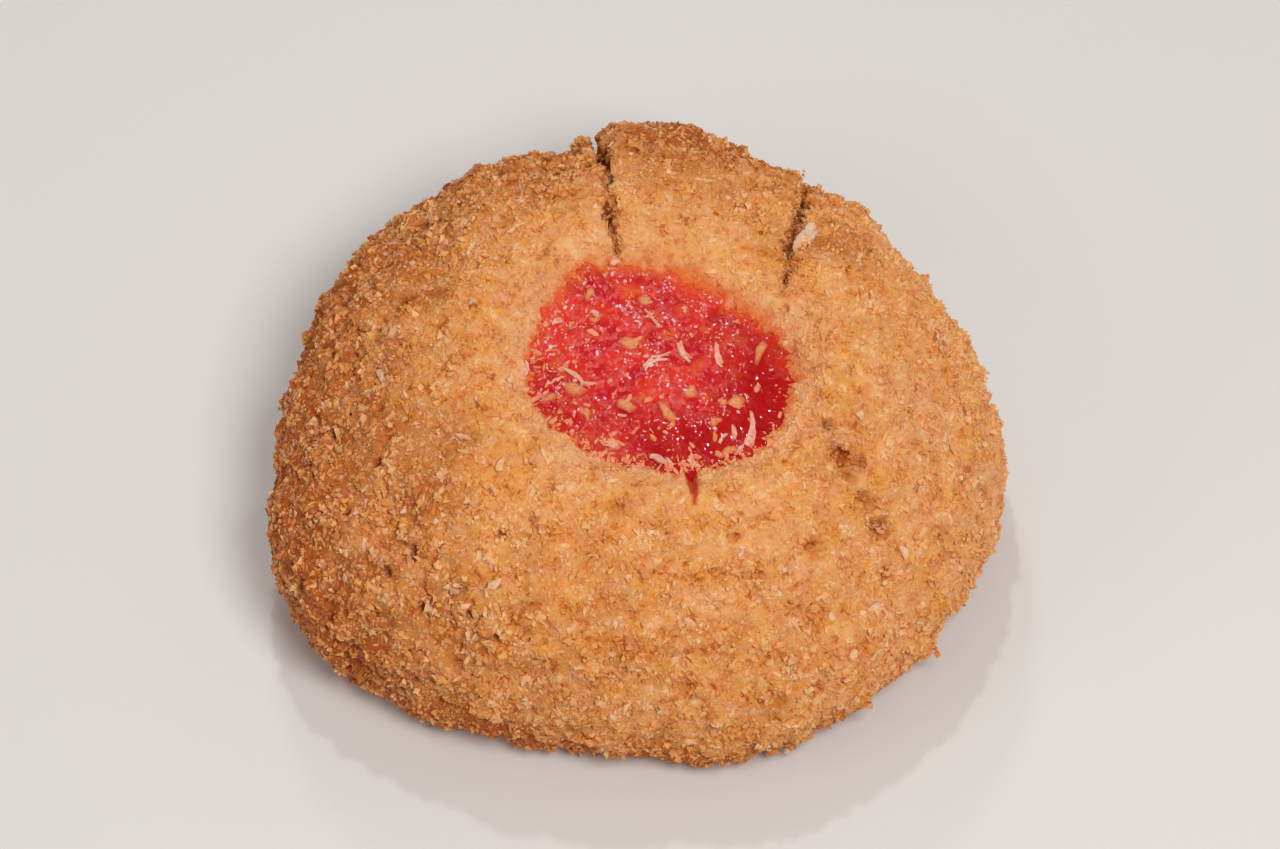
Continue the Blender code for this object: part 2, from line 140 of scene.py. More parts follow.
# Pits: direction, place along the profile and radius in mm
PITS = (
    (160, 0.414, 0.75),
    (157, 0.386, 0.60),
    (158, 0.330, 0.55),
    (136, 0.502, 0.70),
    (118, 0.472, 0.60),
    (292, 0.380, 0.65),
    (309, 0.432, 0.65),
    (334, 0.534, 0.60),
    (350, 0.524, 0.50),
    (300, 0.596, 0.60),
    (280, 0.574, 0.65),
    (22, 0.520, 0.65),
    (198, 0.420, 0.60),
    (82, 0.560, 0.60),
)

# Fineness of the meshes
DOUGH_CELLS = 84
DOUGH_VOXEL = 0.295 * MM
DOUGH_KEPT = 0.885  # share of the dough's triangles left when its base and its floor under the jam are made coarser
JAM_CELLS = 84


def smooth_step(low, high, value):
    share = min(max((value - low) / (high - low), 0.0), 1.0)
    return share * share * (3.0 - 2.0 * share)


def smooth_steps(low, high, values):
    share = np.clip((values - low) / (high - low), 0.0, 1.0)
    return share * share * (3.0 - 2.0 * share)


def mix(a, b, share):
    return a + (b - a) * share


def degrees_between(a, b):
    return abs((a - b + 180.0) % 360.0 - 180.0)


def bell(direction, at, spread):
    """How near each direction is to one, 0 to 1."""
    return np.exp(-((degrees_between(direction, at) / spread) ** 2))


def bells(direction, sides, least=0.0):
    """What each direction gets from several sides, each with its direction, spread and share."""
    return sum((share * bell(direction, at, spread) for at, spread, share in sides), least)


# ---------------------------------------------------------------- the form, as in the solids


def profile(along):
    """Radius and height of the turned profile: thumbprint, dome, tuck under the waist, flat base."""
    if along < CREST_AT:
        radius = CREST_RADIUS * along / CREST_AT
        rise = smooth_step(FLOOR_RADIUS, CREST_RADIUS, radius)
        return radius, CREST_HEIGHT - PRINT_DEPTH * (1.0 - rise)
    if along < WAIST_AT:
        turn = math.pi / 2 * (WAIST_AT - along) / (WAIST_AT - CREST_AT)
        radius = CREST_RADIUS + (RADIUS - CREST_RADIUS) * max(math.cos(turn), 0.0) ** DOME_POWER
        return radius, WAIST_HEIGHT + (CREST_HEIGHT - WAIST_HEIGHT) * math.sin(turn) ** DOME_POWER
    if along < FOOT_AT:
        turn = math.pi / 2 * (along - WAIST_AT) / (FOOT_AT - WAIST_AT)
        radius = FOOT_RADIUS + (RADIUS - FOOT_RADIUS) * math.cos(turn)
        return radius, WAIST_HEIGHT * (1.0 - math.sin(turn))
    return FOOT_RADIUS * (1.0 - along) / (1.0 - FOOT_AT), 0.0


def outline_scale(direction):
    change = sum(
        swell * MM * math.exp(-((degrees_between(direction, at) / spread) ** 2))
        for at, spread, swell in OUTLINE_SWELLS
    )
    return 1.0 + change / RADIUS


def print_scale(direction):
    change = sum(
        swell * math.cos(lobes * math.radians(direction - at)) for lobes, at, swell in PRINT_LOBES
    )
    return 1.0 + change / JAM_RADIUS


def slab_lift(direction, along):
    low, top, edge = BACK_SLAB
    across = smooth_step(low, top, direction) * mix(1.0, BACK_SLAB_STEP, smooth_step(top, edge, direction))
    if direction > edge:
        across = 0.0
    down = smooth_step(CREST_AT, mix(CREST_AT, WAIST_AT, 0.5), along)
    return BACK_SLAB_LIFT * across * down * (1.0 - smooth_step(WAIST_AT, FOOT_AT, along))


def lumps(point):
    height = sum(
        size * noise.noise(point / scale + Vector((SEED, 0, index)))
        for index, (scale, size) in enumerate(CRUST_LUMPS)
    )
    return height * smooth_step(FLAT_BELOW, LUMPS_FULL_ABOVE, point.z)


def crust_point(direction, along):
    """A point of the crust. direction is in degrees from +X, and along is the place on the profile."""
    radius, height = profile(along)
    outer = smooth_step(*PRINT_TO_OUTLINE, along)
    scale = mix(print_scale(direction), outline_scale(direction), outer)
    centre = PRINT_CENTRE * (1.0 - outer)
    angle = math.radians(direction)
    flat = centre + Vector((math.cos(angle), math.sin(angle))) * radius * scale
    point = Vector((flat.x, flat.y, height))
    outward = (point - Vector((0, 0, RISE_FROM))).normalized()
    share = mix(PRINT_LUMPS, 1.0, smooth_step(*SMOOTH_PRINT, along))
    point += outward * (lumps(point) * share + slab_lift(direction, along))
    point.z = max(point.z, 0.0)
    return point


def crust_normal(direction, along):
    step = 0.004
    down = crust_point(direction, along + step) - crust_point(direction, along - step)
    round_it = crust_point(direction + 1.0, along) - crust_point(direction - 1.0, along)
    return down.cross(round_it).normalized()


def jam_rim(direction):
    """The jam's edge, as the solids have it."""
    edge = CREST_AT * JAM_RADIUS / CREST_RADIUS
    return crust_point(direction, edge) + crust_normal(direction, edge) * JAM_GAP


# How far the jam's ragged edge lies beyond its smooth outline: direction, and change of radius in mm
JAM_EDGE = (
    (0, -0.25),
    (24, -0.30),
    (48, -0.90),
    (72, -0.40),
    (96, 0.05),
    (108, 0.50),
    (120, 1.20),
    (134, 0.80),
    (156, 0.15),
    (180, -0.05),
    (198, -0.10),
    (216, -1.00),
    (240, -0.75),
    (264, -0.80),
    (277, -0.05),
    (290, -0.45),
    (312, 0.10),
    (336, -0.35),
)
# Its finer rags: waves round the edge, where each starts, and its height in mm
JAM_RAGS = ((17, 0.5, 0.10), (29, 1.0, 0.10), (41, 2.3, 0.09), (59, 4.1, 0.07), (83, 0.2, 0.05))


def edge_change(direction, share=1.0):
    """How far the jam's seen edge lies beyond its smooth outline, for one direction or an array of them."""
    at, change = zip(*JAM_EDGE)
    ragged = sum(size * MM * np.cos(lobes * np.radians(direction) + turn) for lobes, turn, size in JAM_RAGS)
    return np.interp(direction, at, np.array(change) * MM, period=360) + ragged * share


def frame_shift():
    """The solids were moved to stand with the middle of their box on the origin: the jam's box tells how far."""
    rim = [jam_rim(direction) for direction in range(0, 360, 2)]
    low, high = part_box("jam")
    shift = [
        (low[axis] + high[axis]) / 2 - (min(p[axis] for p in rim) + max(p[axis] for p in rim)) / 2
        for axis in range(2)
    ]
    return Vector((shift[0], shift[1], 0.0))


# ---------------------------------------------------------------- meshes


def new_object(name, mesh):
    made = bpy.data.objects.new(name, mesh)
    bpy.context.scene.collection.objects.link(made)
    return made


def mesh_of(name, points, faces):
    """A mesh from an array of points and one of triangles."""
    mesh = bpy.data.meshes.new(name)
    mesh.vertices.add(len(points))
    mesh.vertices.foreach_set("co", np.asarray(points, np.float32).ravel())
    mesh.loops.add(faces.size)
    mesh.loops.foreach_set("vertex_index", faces.astype(np.int32).ravel())
    mesh.polygons.add(len(faces))
    mesh.polygons.foreach_set("loop_start", np.arange(len(faces), dtype=np.int32) * 3)
    mesh.update(calc_edges=True)
    return mesh


def points_of(mesh, kind="co"):
    """A mesh's points, or of the kind "normal" the smooth normals there."""
    found = np.empty(len(mesh.vertices) * 3, np.float32)
    mesh.vertices.foreach_get(kind, found)
    return found.reshape(-1, 3).astype(float)


def triangles_of(mesh):
    mesh.calc_loop_triangles()
    found = np.empty(len(mesh.loop_triangles) * 3, np.int32)
    mesh.loop_triangles.foreach_get("vertices", found)
    return found.reshape(-1, 3)


def set_points(mesh, points):
    mesh.vertices.foreach_set("co", np.asarray(points, np.float32).ravel())
    mesh.update()


def keep_value(mesh, name, values):
    """One number for each point, which the materials read."""
    layer = mesh.attributes.new(name, "FLOAT", "POINT")
    layer.data.foreach_set("value", np.asarray(values, np.float32))


def ball_directions(cells):
    ball = bmesh.new()
    bmesh.ops.create_cube(ball, size=2.0)
    bmesh.ops.subdivide_edges(ball, edges=ball.edges[:], cuts=cells - 1, use_grid_fill=True)
    quarter = math.pi / 4
    for vert in ball.verts:
        vert.co = Vector([math.tan(value * quarter) for value in vert.co]).normalized()
    return ball


def object_from(ball, name):
    bmesh.ops.triangulate(ball, faces=ball.faces[:])
    bmesh.ops.recalc_face_normals(ball, faces=ball.faces[:])
    mesh = bpy.data.meshes.new(name)
    ball.to_mesh(mesh)
    ball.free()
    return new_object(name, mesh)


def with_modifier(target, kind, **settings):
    """Adds a modifier to the object, applies it and returns the object."""
    modifier = target.modifiers.new(kind.lower(), kind)
    for name, value in settings.items():
        setattr(modifier, name, value)
    graph = bpy.context.evaluated_depsgraph_get()
    made = bpy.data.meshes.new_from_object(target.evaluated_get(graph))
    target.modifiers.clear()
    target.data = made
    return target


def tree_of(*surfaces, shift=None):
    """One tree over several meshes, to cast sight lines on or to find the nearest place on."""
    points, faces = [], []
    for surface in surfaces:
        faces += [tuple(int(i) + len(points) for i in face) for face in triangles_of(surface.data)]
        points += [Vector(point) + (shift or Vector()) for point in points_of(surface.data)]
    return BVHTree.FromPolygons(points, faces)


# ---------------------------------------------------------------- where the crust is stained, browned and hollow


def jam_distance(points, shift):
    """How far outside the jam's outline each point lies, seen from above, in metres. Negative over the jam."""
    flat = points[:, :2] - np.array([PRINT_CENTRE.x + shift.x, PRINT_CENTRE.y + shift.y])
    direction = np.degrees(np.arctan2(flat[:, 1], flat[:, 0]))
    radius = JAM_RADIUS + sum(
        swell * np.cos(lobes * np.radians(direction - at)) for lobes, at, swell in PRINT_LOBES
    )
    radius = radius + edge_change(direction)
    return np.hypot(flat[:, 0], flat[:, 1]) - radius, direction


def noises(points, scale, offset=0.0):
    """Smooth noise from -1 to 1 at each point."""
    place = Vector((offset, offset * 0.7, -offset))
    return np.array([noise.noise(Vector(point) / scale + place) for point in points])


STAIN_REACH = 0.95 * MM
STAIN_SIDES = ((75, 50, 0.8), (5, 45, 0.6))  # directions where the jam has soaked furthest, with spread and share


def stain_of(points, shift):
    """How far jam has soaked into the crumb, 0 to 1: a ragged edge round the jam, widest at its back and right."""
    distance, direction = jam_distance(points, shift)
    reach = bells(direction, STAIN_SIDES, 0.3)
    ragged = 1.0 + 0.7 * noises(points, 1.4 * MM, 3.0) + 0.5 * noises(points, 0.6 * MM, 6.0)
    soaked = np.clip(1.2 - distance / (STAIN_REACH * reach * ragged.clip(0.25)), 0.0, 1.0)
    return np.maximum(soaked, nick_of(points, shift)) * smooth_steps(8.0 * MM, 10.0 * MM, points[:, 2])


def nick_of(points, shift, reach=0.0):
    """How much each point lies in the nick, 0 to 1: a wedge that is widest at the jam."""
    found = np.zeros(len(points))
    for direction, along, share in split_places(SPLITS[NICK][0], 0.2 * MM):
        normal = np.array(crust_normal(direction, along))
        apart = points - np.array(crust_point(direction, along) + shift)
        apart = np.linalg.norm(apart - 0.85 * np.outer(apart @ normal, normal), axis=1)
        half = mix(0.66, 0.20, share) * MM + reach
        found = np.maximum(found, smooth_steps(half * 1.25, half * 0.75, apart))
    return found


# Sides that baked browner, or paler, with painted shade on the left side: direction, spread and share
BROWN_AND_SHADE_SIDES = (
    (185, 55, 0.60),
    (135, 40, 0.34),
    (85, 32, 0.68),
    (250, 35, 0.02),
    (275, 30, -0.10),
    (0, 40, -0.52),
    (315, 30, -0.25),
)
# Patches of the same, some of them painted shade round the pits and cracks and beside the jam: direction, place
# along the profile, radius in mm and strength
BROWN_AND_SHADE_PATCHES = (
    (212, 0.400, 1.9, 0.20),
    (195, 0.395, 2.4, 0.30),
    (204, 0.345, 4.5, 0.28),
    (258, 0.330, 1.4, 0.40),
    (309, 0.432, 1.0, 0.45),
    (330, 0.385, 1.8, 0.30),
    (325, 0.465, 1.5, 0.30),
    (334, 0.534, 1.7, 0.45),
    (350, 0.524, 1.3, 0.40),
    (82, 0.440, 5.0, 0.38),
    (85, 0.355, 4.0, 0.20),
    (50, 0.335, 3.0, 0.20),
    (38, 0.410, 3.5, 0.35),
    (143, 0.450, 4.0, 0.35),
    (345, 0.335, 3.5, 0.20),
    (317, 0.320, 2.2, 0.35),
    (354, 0.420, 5.0, -0.45),
)
PATCH_EDGE = (1.3, 0.3)  # where a patch starts and where it is full, as shares of its radius


def browned_and_shade_of(points, shift):
    """How brown the crust looks, 0 to 1: baked browner down the flanks, on the left and back, and in patches, with
    painted shade on the left, along the bottom edge and round the pits and cracks. Below 0 it is paler than
    elsewhere, as in the thumbprint, with painted light on the thumbprint's front wall."""
    flat = points[:, :2] - np.array([shift.x, shift.y])
    radius = np.hypot(flat[:, 0], flat[:, 1])
    direction = np.degrees(np.arctan2(flat[:, 1], flat[:, 0]))
    side = bells(direction, BROWN_AND_SHADE_SIDES, 0.25)
    out = 0.72 * smooth_steps(11.0 * MM, 25.0 * MM, radius) + 0.58 * smooth_steps(24.5 * MM, 28.5 * MM, radius)
    out = np.maximum(out, smooth_steps(2.0 * MM, 0.5 * MM, points[:, 2]))
    # Darker towards the bottom: the base baked browner, and painted shade lies along the bottom edge
    low = 1.6 * smooth_steps(7.0 * MM, 2.0 * MM, points[:, 2]) + 0.7 * smooth_steps(0.8 * MM, 0.2 * MM, points[:, 2])
    patches = mix(0.24, 0.34, out) * noises(points, 6.0 * MM, 11.0)
    patches += mix(0.24, 0.5, out) * noises(points, 2.4 * MM, 5.0)
    distance, direction = jam_distance(points, shift)
    front = 1.0 - pressed(direction)
    # Paler in the thumbprint; on its front wall the paling is painted light
    inner = smooth_steps(6.0 * MM, 0.5 * MM, distance) * mix(0.4, 0.5, front)
    inner += 0.5 * smooth_steps(2.8 * MM, 0.5 * MM, distance) * front
    inner *= smooth_steps(8.0 * MM, 10.0 * MM, points[:, 2])
    browned_and_shade = out * side + 0.5 * low + patches - inner
    for at, along, reach, strength in BROWN_AND_SHADE_PATCHES:
        apart = np.linalg.norm(points - np.array(crust_point(at, along) + shift), axis=1)
        edge, full = (reach * MM * share for share in PATCH_EDGE)
        browned_and_shade += strength * smooth_steps(edge, full, apart)
    return np.clip(browned_and_shade, -1.0, 1.0)


# ---------------------------------------------------------------- dough


def split_places(way, step):
    """Evenly spaced places along a split: direction, place along the profile and share of the way."""
    legs = []
    for near, far in zip(way, way[1:]):
        legs.append((crust_point(*far) - crust_point(*near)).length)
    count = max(3, round(sum(legs) / step))
    places = []
    for index in range(count + 1):
        left = sum(legs) * index / count
        leg = 0
        while leg < len(legs) - 1 and left > legs[leg]:
            left -= legs[leg]
            leg += 1
        share = min(left / legs[leg], 1.0)
        direction = mix(way[leg][0], way[leg + 1][0], share)
        places.append((direction, mix(way[leg][1], way[leg + 1][1], share), index / count))
    return places


def fullness(share):
    """How wide a split is at a share of its way, 0 to 1: it tapers to both ends."""
    return math.sin(math.pi * mix(SPLIT_ENDS, 1.0 - SPLIT_ENDS, share)) ** 0.7


def add_split_cutter(index, split, collection):
    """A ragged wedge that follows the crust, its ridge in the dough."""
    way, width, depth = split[0], split[1] * MM, split[2] * MM
    draw = random.Random(f"split {index}")
    wedge = bmesh.new()
    ahead = (crust_point(*way[-1]) - crust_point(*way[0])).normalized()
    sections = []
    for direction, along, share in split_places(way, SPLIT_STEP):
        point = crust_point(direction, along)
        normal = crust_normal(direction, along)
        across = normal.cross(ahead).normalized()
        full = fullness(share) * draw.uniform(*SPLIT_UNEVEN)
        if index == NICK:
            full = mix(*NICK_FULL, share)
        middle = point + across * (NICK_WANDER if index == NICK else SPLIT_WANDER) * MM * draw.uniform(-1.0, 1.0)
        half = across * width * full / 2
        above = depth * SPLIT_RISE
        flare = 1.0 + 0.5 / full
        sections.append(
            [
                wedge.verts.new(middle - half * flare + normal * above),
                wedge.verts.new(middle + half * flare + normal * above),
                wedge.verts.new(middle + half * 0.5 - normal * depth * full),
                wedge.verts.new(middle - half * 0.5 - normal * depth * full),
            ]
        )
    for near, far in zip(sections, sections[1:]):
        for corner in range(4):
            following = (corner + 1) % 4
            wedge.faces.new((near[corner], near[following], far[following], far[corner]))
    wedge.faces.new(sections[0][::-1])
    wedge.faces.new(sections[-1])
    cutter = object_from(wedge, f"split_{index}")
    collection.objects.link(cutter)


def add_pit_cutter(index, pit, collection):
    """A short lopsided cleft in the crust."""
    direction, along, radius = pit
    draw = random.Random(f"pit {index}")
    ball = bmesh.new()
    bmesh.ops.create_icosphere(ball, subdivisions=2, radius=radius * MM)
    for vert in ball.verts:
        vert.co *= draw.uniform(0.7, 1.35)
        vert.co = Vector((vert.co.x * 1.5, vert.co.y * 0.6, vert.co.z * 1.3))
    turn = crust_normal(direction, along).to_track_quat("Z", "Y").to_matrix().to_4x4()
    own_turn = Matrix.Rotation(draw.uniform(0.0, math.pi), 4, "Z")
    ball.transform(Matrix.Translation(crust_point(direction, along)) @ turn @ own_turn)
    collection.objects.link(object_from(ball, f"pit_{index}"))


def opening_lines(shift, first=0):
    """Places along the splits, from one of them on, and along the pits, each with its half width."""
    places, halves = [], []
    for way, width, _ in SPLITS[first:]:
        for direction, along, share in split_places(way, 0.5 * MM):
            places.append(crust_point(direction, along) + shift)
            halves.append(width * MM * fullness(share) / 2)
    for direction, along, radius in PITS:
        places.append(crust_point(direction, along) + shift)
        halves.append(radius * MM)
    return np.array([place[:] for place in places]), np.array(halves)


def openness(points, shift, reach=0.0, first=0):
    """How much each point lies in a split or pit, 0 to 1, fading out over a reach beyond its edge."""
    places, halves = opening_lines(shift, first)
    found = np.zeros(len(points))
    for place, half in zip(places, halves):
        apart = np.linalg.norm(points - place, axis=1)
        found = np.maximum(found, smooth_steps(half + reach, half * 0.7, apart))
    return found


def pore_at(place):
    """How much a place lies in one of the dough's pores, 0 to 1."""
    return smooth_step(0.25, 0.08, noise.voronoi(place / (2.5 * MM) + Vector((9, 4, 7)))[0][0])


def fissure_at(place):
    """How much a place lies in one of the thin winding fissures between clumps, 0 to 1."""
    line = 1.0 - smooth_step(0.02, 0.10, abs(noise.noise(place / (3.0 * MM) + Vector((1, 7, 2)))))
    return line * smooth_step(0.0, 0.25, noise.noise(place / (5.0 * MM) + Vector((4, 2, 8))))


# Relief of the crust: size and height in mm of its clumps, pebbles, grains, swells and knobs
CLUMPS, PEBBLES, GRAINS, SWELLS, KNOBS = (2.1, 0.52), (0.85, 0.22), (0.42, 0.08), (3.6, 0.24), (2.6, 0.55)
HOLE_DEPTH = 0.8  # of the pores, in mm
BASE_DENT = 0.22 * MM  # of the base at most
CALM_FRONT = (284, 36)  # where the crust has fewer pores and swells: direction and spread
PRESSED_BACK = (80, 65)  # where the thumbprint's wall is pressed smooth


def roughen(points, normals, shift):
    """Works crumb into the dough: clumps, pebbles, finer grains, pores and fissures, softer in the thumbprint."""
    distance, direction = jam_distance(points, shift)
    softer = mix(mix(0.8, 0.6, pressed(direction)), 1.0, smooth_steps(0.8 * MM, 5.0 * MM, distance))
    softer = softer * mix(1.0, 1.75, smooth_steps(8.0 * MM, 14.0 * MM, distance))
    knobs = KNOBS[1] * noises(points, KNOBS[0] * MM, 14.0) * pressed(direction)
    knobs *= smooth_steps(7.0 * MM, 12.0 * MM, distance)
    calm = bell(direction, *CALM_FRONT)
    height = np.empty(len(points))
    for index, point in enumerate(points):
        place = Vector(point)
        wander = noise.noise_vector(place / (1.3 * MM)) * 0.35
        clump = 0.55 - noise.voronoi(place / (CLUMPS[0] * MM) + wander + Vector((2, 6, 1)))[0][0]
        pebble = 0.55 - noise.voronoi(place / (PEBBLES[0] * MM))[0][0]
        grain = noise.noise(place / (GRAINS[0] * MM))
        swell = noise.noise(place / (SWELLS[0] * MM) + Vector((5, 1, 3)))
        hole = max(pore_at(place), 0.45 * fissure_at(place)) * (1.0 - 0.6 * calm[index])
        swell *= SWELLS[1] * (1.0 - 0.4 * calm[index])
        height[index] = CLUMPS[1] * clump + PEBBLES[1] * pebble + GRAINS[1] * grain + swell - HOLE_DEPTH * hole
    height = (height * softer + knobs) * MM
    on_base = points[:, 2] < 0.25 * MM
    height[on_base] = -np.minimum(np.abs(height[on_base]) * 0.5, BASE_DENT)
    moved = points + normals * height[:, None]
    moved[:, 2] = np.maximum(moved[:, 2], 0.0)
    return moved


def pressed(direction):
    """How smoothly the thumbprint's wall is pressed, 0 to 1, by its direction: the back is, the front isn't."""
    return bell(direction, *PRESSED_BACK)


def depth_below(tree, points):
    """How far each point lies below the smooth crust, in metres."""
    found = np.empty(len(points))
    for index, point in enumerate(points):
        place, normal, _, _ = tree.find_nearest(Vector(point))
        found[index] = (place - Vector(point)).dot(normal)
    return found


def make_dough(shift):
    ball = ball_directions(DOUGH_CELLS)
    for vert in ball.verts:
        along = math.acos(max(-1.0, min(1.0, vert.co.z))) / math.pi
        direction = math.degrees(math.atan2(vert.co.y, vert.co.x)) % 360.0
        vert.co = crust_point(direction, along)
    dough = object_from(ball, "dough")
    crust = tree_of(dough, shift=shift)
    cutters = bpy.data.collections.new("cutters")
    for index, split in enumerate(SPLITS):
        add_split_cutter(index, split, cutters)
    for index, pit in enumerate(PITS):
        add_pit_cutter(index, pit, cutters)
    with_modifier(
        dough, "BOOLEAN", operation="DIFFERENCE", operand_type="COLLECTION", collection=cutters, solver="MANIFOLD"
    )
    for cutter in list(cutters.objects):
        bpy.data.objects.remove(cutter)
    bpy.data.collections.remove(cutters)
    with_modifier(dough, "REMESH", mode="VOXEL", voxel_size=DOUGH_VOXEL, adaptivity=0.0)
    mesh = dough.data
    mesh.transform(Matrix.Translation(shift))
    points, normals = points_of(mesh), points_of(mesh, "normal")
    # The remesh rounds the foot below the floor by a hair
    points[:, 2] = np.maximum(points[:, 2], 0.0)
    set_points(mesh, roughen(points, normals, shift))
    with_modifier(dough, "TRIANGULATE")
    points = points_of(dough.data)
    plain = (points[:, 2] < 0.35 * MM) | (jam_distance(points, shift)[0] < -1.5 * MM)
    dough.vertex_groups.new(name="plain").add(np.flatnonzero(plain).tolist(), 1.0, "REPLACE")
    with_modifier(dough, "DECIMATE", ratio=DOUGH_KEPT, vertex_group="plain", vertex_group_factor=10.0)
    dough.vertex_groups.clear()
    mesh = dough.data
    moved = points_of(mesh)
    moved[:, 2] = np.maximum(moved[:, 2], 0.0)
    set_points(mesh, moved)
    depth = depth_below(crust, moved)
    # How deep each point lies in a split, pit or the nick: the crust's colour darkens there, painted shade
    hollow = smooth_steps(0.7 * MM, 2.2 * MM, depth)
    keep_value(mesh, "hollow", np.maximum(hollow, 0.85 * nick_of(moved, shift)))
    keep_value(mesh, "stain", stain_of(moved, shift))
    keep_value(mesh, "browned_and_shade", browned_and_shade_of(moved, shift))
    mesh.shade_smooth()
    return dough


# ---------------------------------------------------------------- bits: granules, shreds and chips


def icosahedron():
    ball = bmesh.new()
    bmesh.ops.create_icosphere(ball, subdivisions=1, radius=1.0)
    ball.verts.index_update()
    points = np.array([vert.co[:] for vert in ball.verts])
    faces = np.array([[vert.index for vert in face.verts] for face in ball.faces])
    ball.free()
    return points, faces


def blunt_bit():
    """A chunk with a flat top and underside and a six-sided outline: eight faces, and no spike upwards."""
    points = [(math.cos(turn), math.sin(turn), 1.0) for turn in (0.0, math.tau / 3, 2 * math.tau / 3)]
    points += [(-x, -y, -1.0) for x, y, _ in points]
    faces = [(0, 1, 2), (5, 4, 3), (0, 5, 1), (1, 3, 2), (2, 4, 0), (5, 3, 1), (3, 4, 2), (4, 5, 0)]
    return np.array(points, float), np.array(faces)


FLAT_RINGS = ((1.0, -1.0), (0.8, 1.0))
DOMED_RINGS = ((1.0, -1.0), (0.88, 0.4), (0.45, 1.0))


def plate_template(sides, rings=FLAT_RINGS):
    """A plate, one unit across, in rings of (radius, height) from its edge up, that rough_bits() makes uneven."""
    points = [
        (math.cos(math.tau * side / sides) * radius, math.sin(math.tau * side / sides) * radius, height)
        for radius, height in rings
        for side in range(sides)
    ]
    faces = []
    for ring in range(len(rings) - 1):
        for side in range(sides):
            here, there = ring * sides + side, ring * sides + (side + 1) % sides
            faces += [(here, there, there + sides), (here, there + sides, here + sides)]
    top = (len(rings) - 1) * sides
    for side in range(1, sides - 1):
        faces += [(0, side + 1, side), (top, top + side, top + side + 1)]
    return np.array(points, float), np.array(faces)


STRIP_RINGS = 7


def strip_template():
    """A flat bar from -1 to 1 along X with its ends closed, in rings of four points that strips() then shapes."""
    corners = [(-1, -1), (1, -1), (1, 1), (-1, 1)]
    points = [
        (mix(-1.0, 1.0, ring / (STRIP_RINGS - 1)), y, z) for ring in range(STRIP_RINGS) for y, z in corners
    ]
    faces = []
    for ring in range(STRIP_RINGS - 1):
        for corner in range(4):
            here, there = ring * 4 + corner, ring * 4 + (corner + 1) % 4
            faces += [(here, there + 4, there), (here, here + 4, there + 4)]
    last = (STRIP_RINGS - 1) * 4
    faces += [(0, 1, 2), (0, 2, 3), (last, last + 2, last + 1), (last, last + 3, last + 2)]
    return np.array(points, float), np.array(faces)


def rough_bits(template, lengths, widths, thicknesses, draw, sides=0):
    """Granules, slivers and plates: the template stretched to size, its points pushed in and out, or all of a
    plate's points on one side together."""
    count = len(lengths)
    if sides:
        turn = np.arange(sides)[None] * math.tau / sides
        lobe, lobes = draw.uniform(0.0, math.tau, (2, count, 1))
        push = 0.95 + 0.16 * np.cos(2 * turn + lobe) + 0.13 * np.cos(3 * turn + lobes)
        push = push + draw.uniform(-0.22, 0.22, (count, sides))
        push = np.tile(push[:, :, None], (1, len(template) // sides, 1))
    else:
        push = draw.uniform(0.6, 1.3, (count, len(template), 1))
    stretch = np.stack([lengths, widths, thicknesses], 1)
    return template[None] * push * stretch[:, None] / 2


def strips(template, lengths, widths, thicknesses, draw):
    """Shreds: tapered strips, each bent sideways, curled upwards and twisted its own way."""
    count = len(lengths)
    share = template[None, :, 0]
    taper = 1.0 - draw.uniform(0.1, 0.45, (count, 1)) * share**2
    taper = taper * (1.0 + draw.uniform(-0.32, 0.32, (count, template.shape[0])))
    y = template[None, :, 1] * widths[:, None] / 2 * taper
    z = template[None, :, 2] * thicknesses[:, None] / 2
    twist = draw.uniform(-0.9, 0.9, (count, 1)) * share
    turned_y = y * np.cos(twist) - z * np.sin(twist)
    turned_z = y * np.sin(twist) + z * np.cos(twist)
    bend = draw.uniform(-0.15, 0.15, (count, 1)) * lengths[:, None] * share**2
    curl = draw.uniform(-0.03, 0.08, (count, 1)) * lengths[:, None] * share**2
    x = share * lengths[:, None] / 2
    return np.stack([x + 0 * y, turned_y + bend, turned_z + curl], 2)


def turned_on(normals, draw, tilt):
    """A turn for each bit: lying on the surface with any yaw and more or less tilt."""
    up = unit(normals + draw.normal(0.0, tilt, normals.shape))
    side = unit(np.cross(up, draw.normal(0.0, 1.0, normals.shape)))
    return np.stack([side, np.cross(up, side), up], 2)


class Ground:
    """A mesh that bits are strewn on, with how likely each of its triangles is to carry one."""

    def __init__(self, surface, weights):
        self.points, self.faces = points_of(surface.data), triangles_of(surface.data)
        self.normals = points_of(surface.data, "normal")
        corners = self.points[self.faces]
        cross = np.cross(corners[:, 1] - corners[:, 0], corners[:, 2] - corners[:, 0])
        area = np.linalg.norm(cross, axis=1)
        chance = area * weights(corners.mean(1), cross / (area[:, None] + 1e-30))
        self.chance = chance / chance.sum()

    def spots(self, count, draw):
        """Random places on the mesh, and the smooth normal there."""
        face = self.faces[draw.choice(len(self.faces), count, p=self.chance)]
        a, b = draw.random((2, count, 1))
        over = a + b > 1.0
        a[over], b[over] = 1.0 - a[over], 1.0 - b[over]
        first, second, third = (self.points[face[:, corner]] for corner in range(3))
        normals = self.normals[face].mean(1)
        return first + a * (second - first) + b * (third - first), unit(normals)


def face_values(mesh, name):
    """A value that the mesh keeps at its points, for each of its triangles."""
    found = np.empty(len(mesh.vertices), np.float32)
    mesh.attributes[name].data.foreach_get("value", found)
    return found[triangles_of(mesh)].mean(1)


def unit(vectors):
    return vectors / np.linalg.norm(vectors, axis=1, keepdims=True)


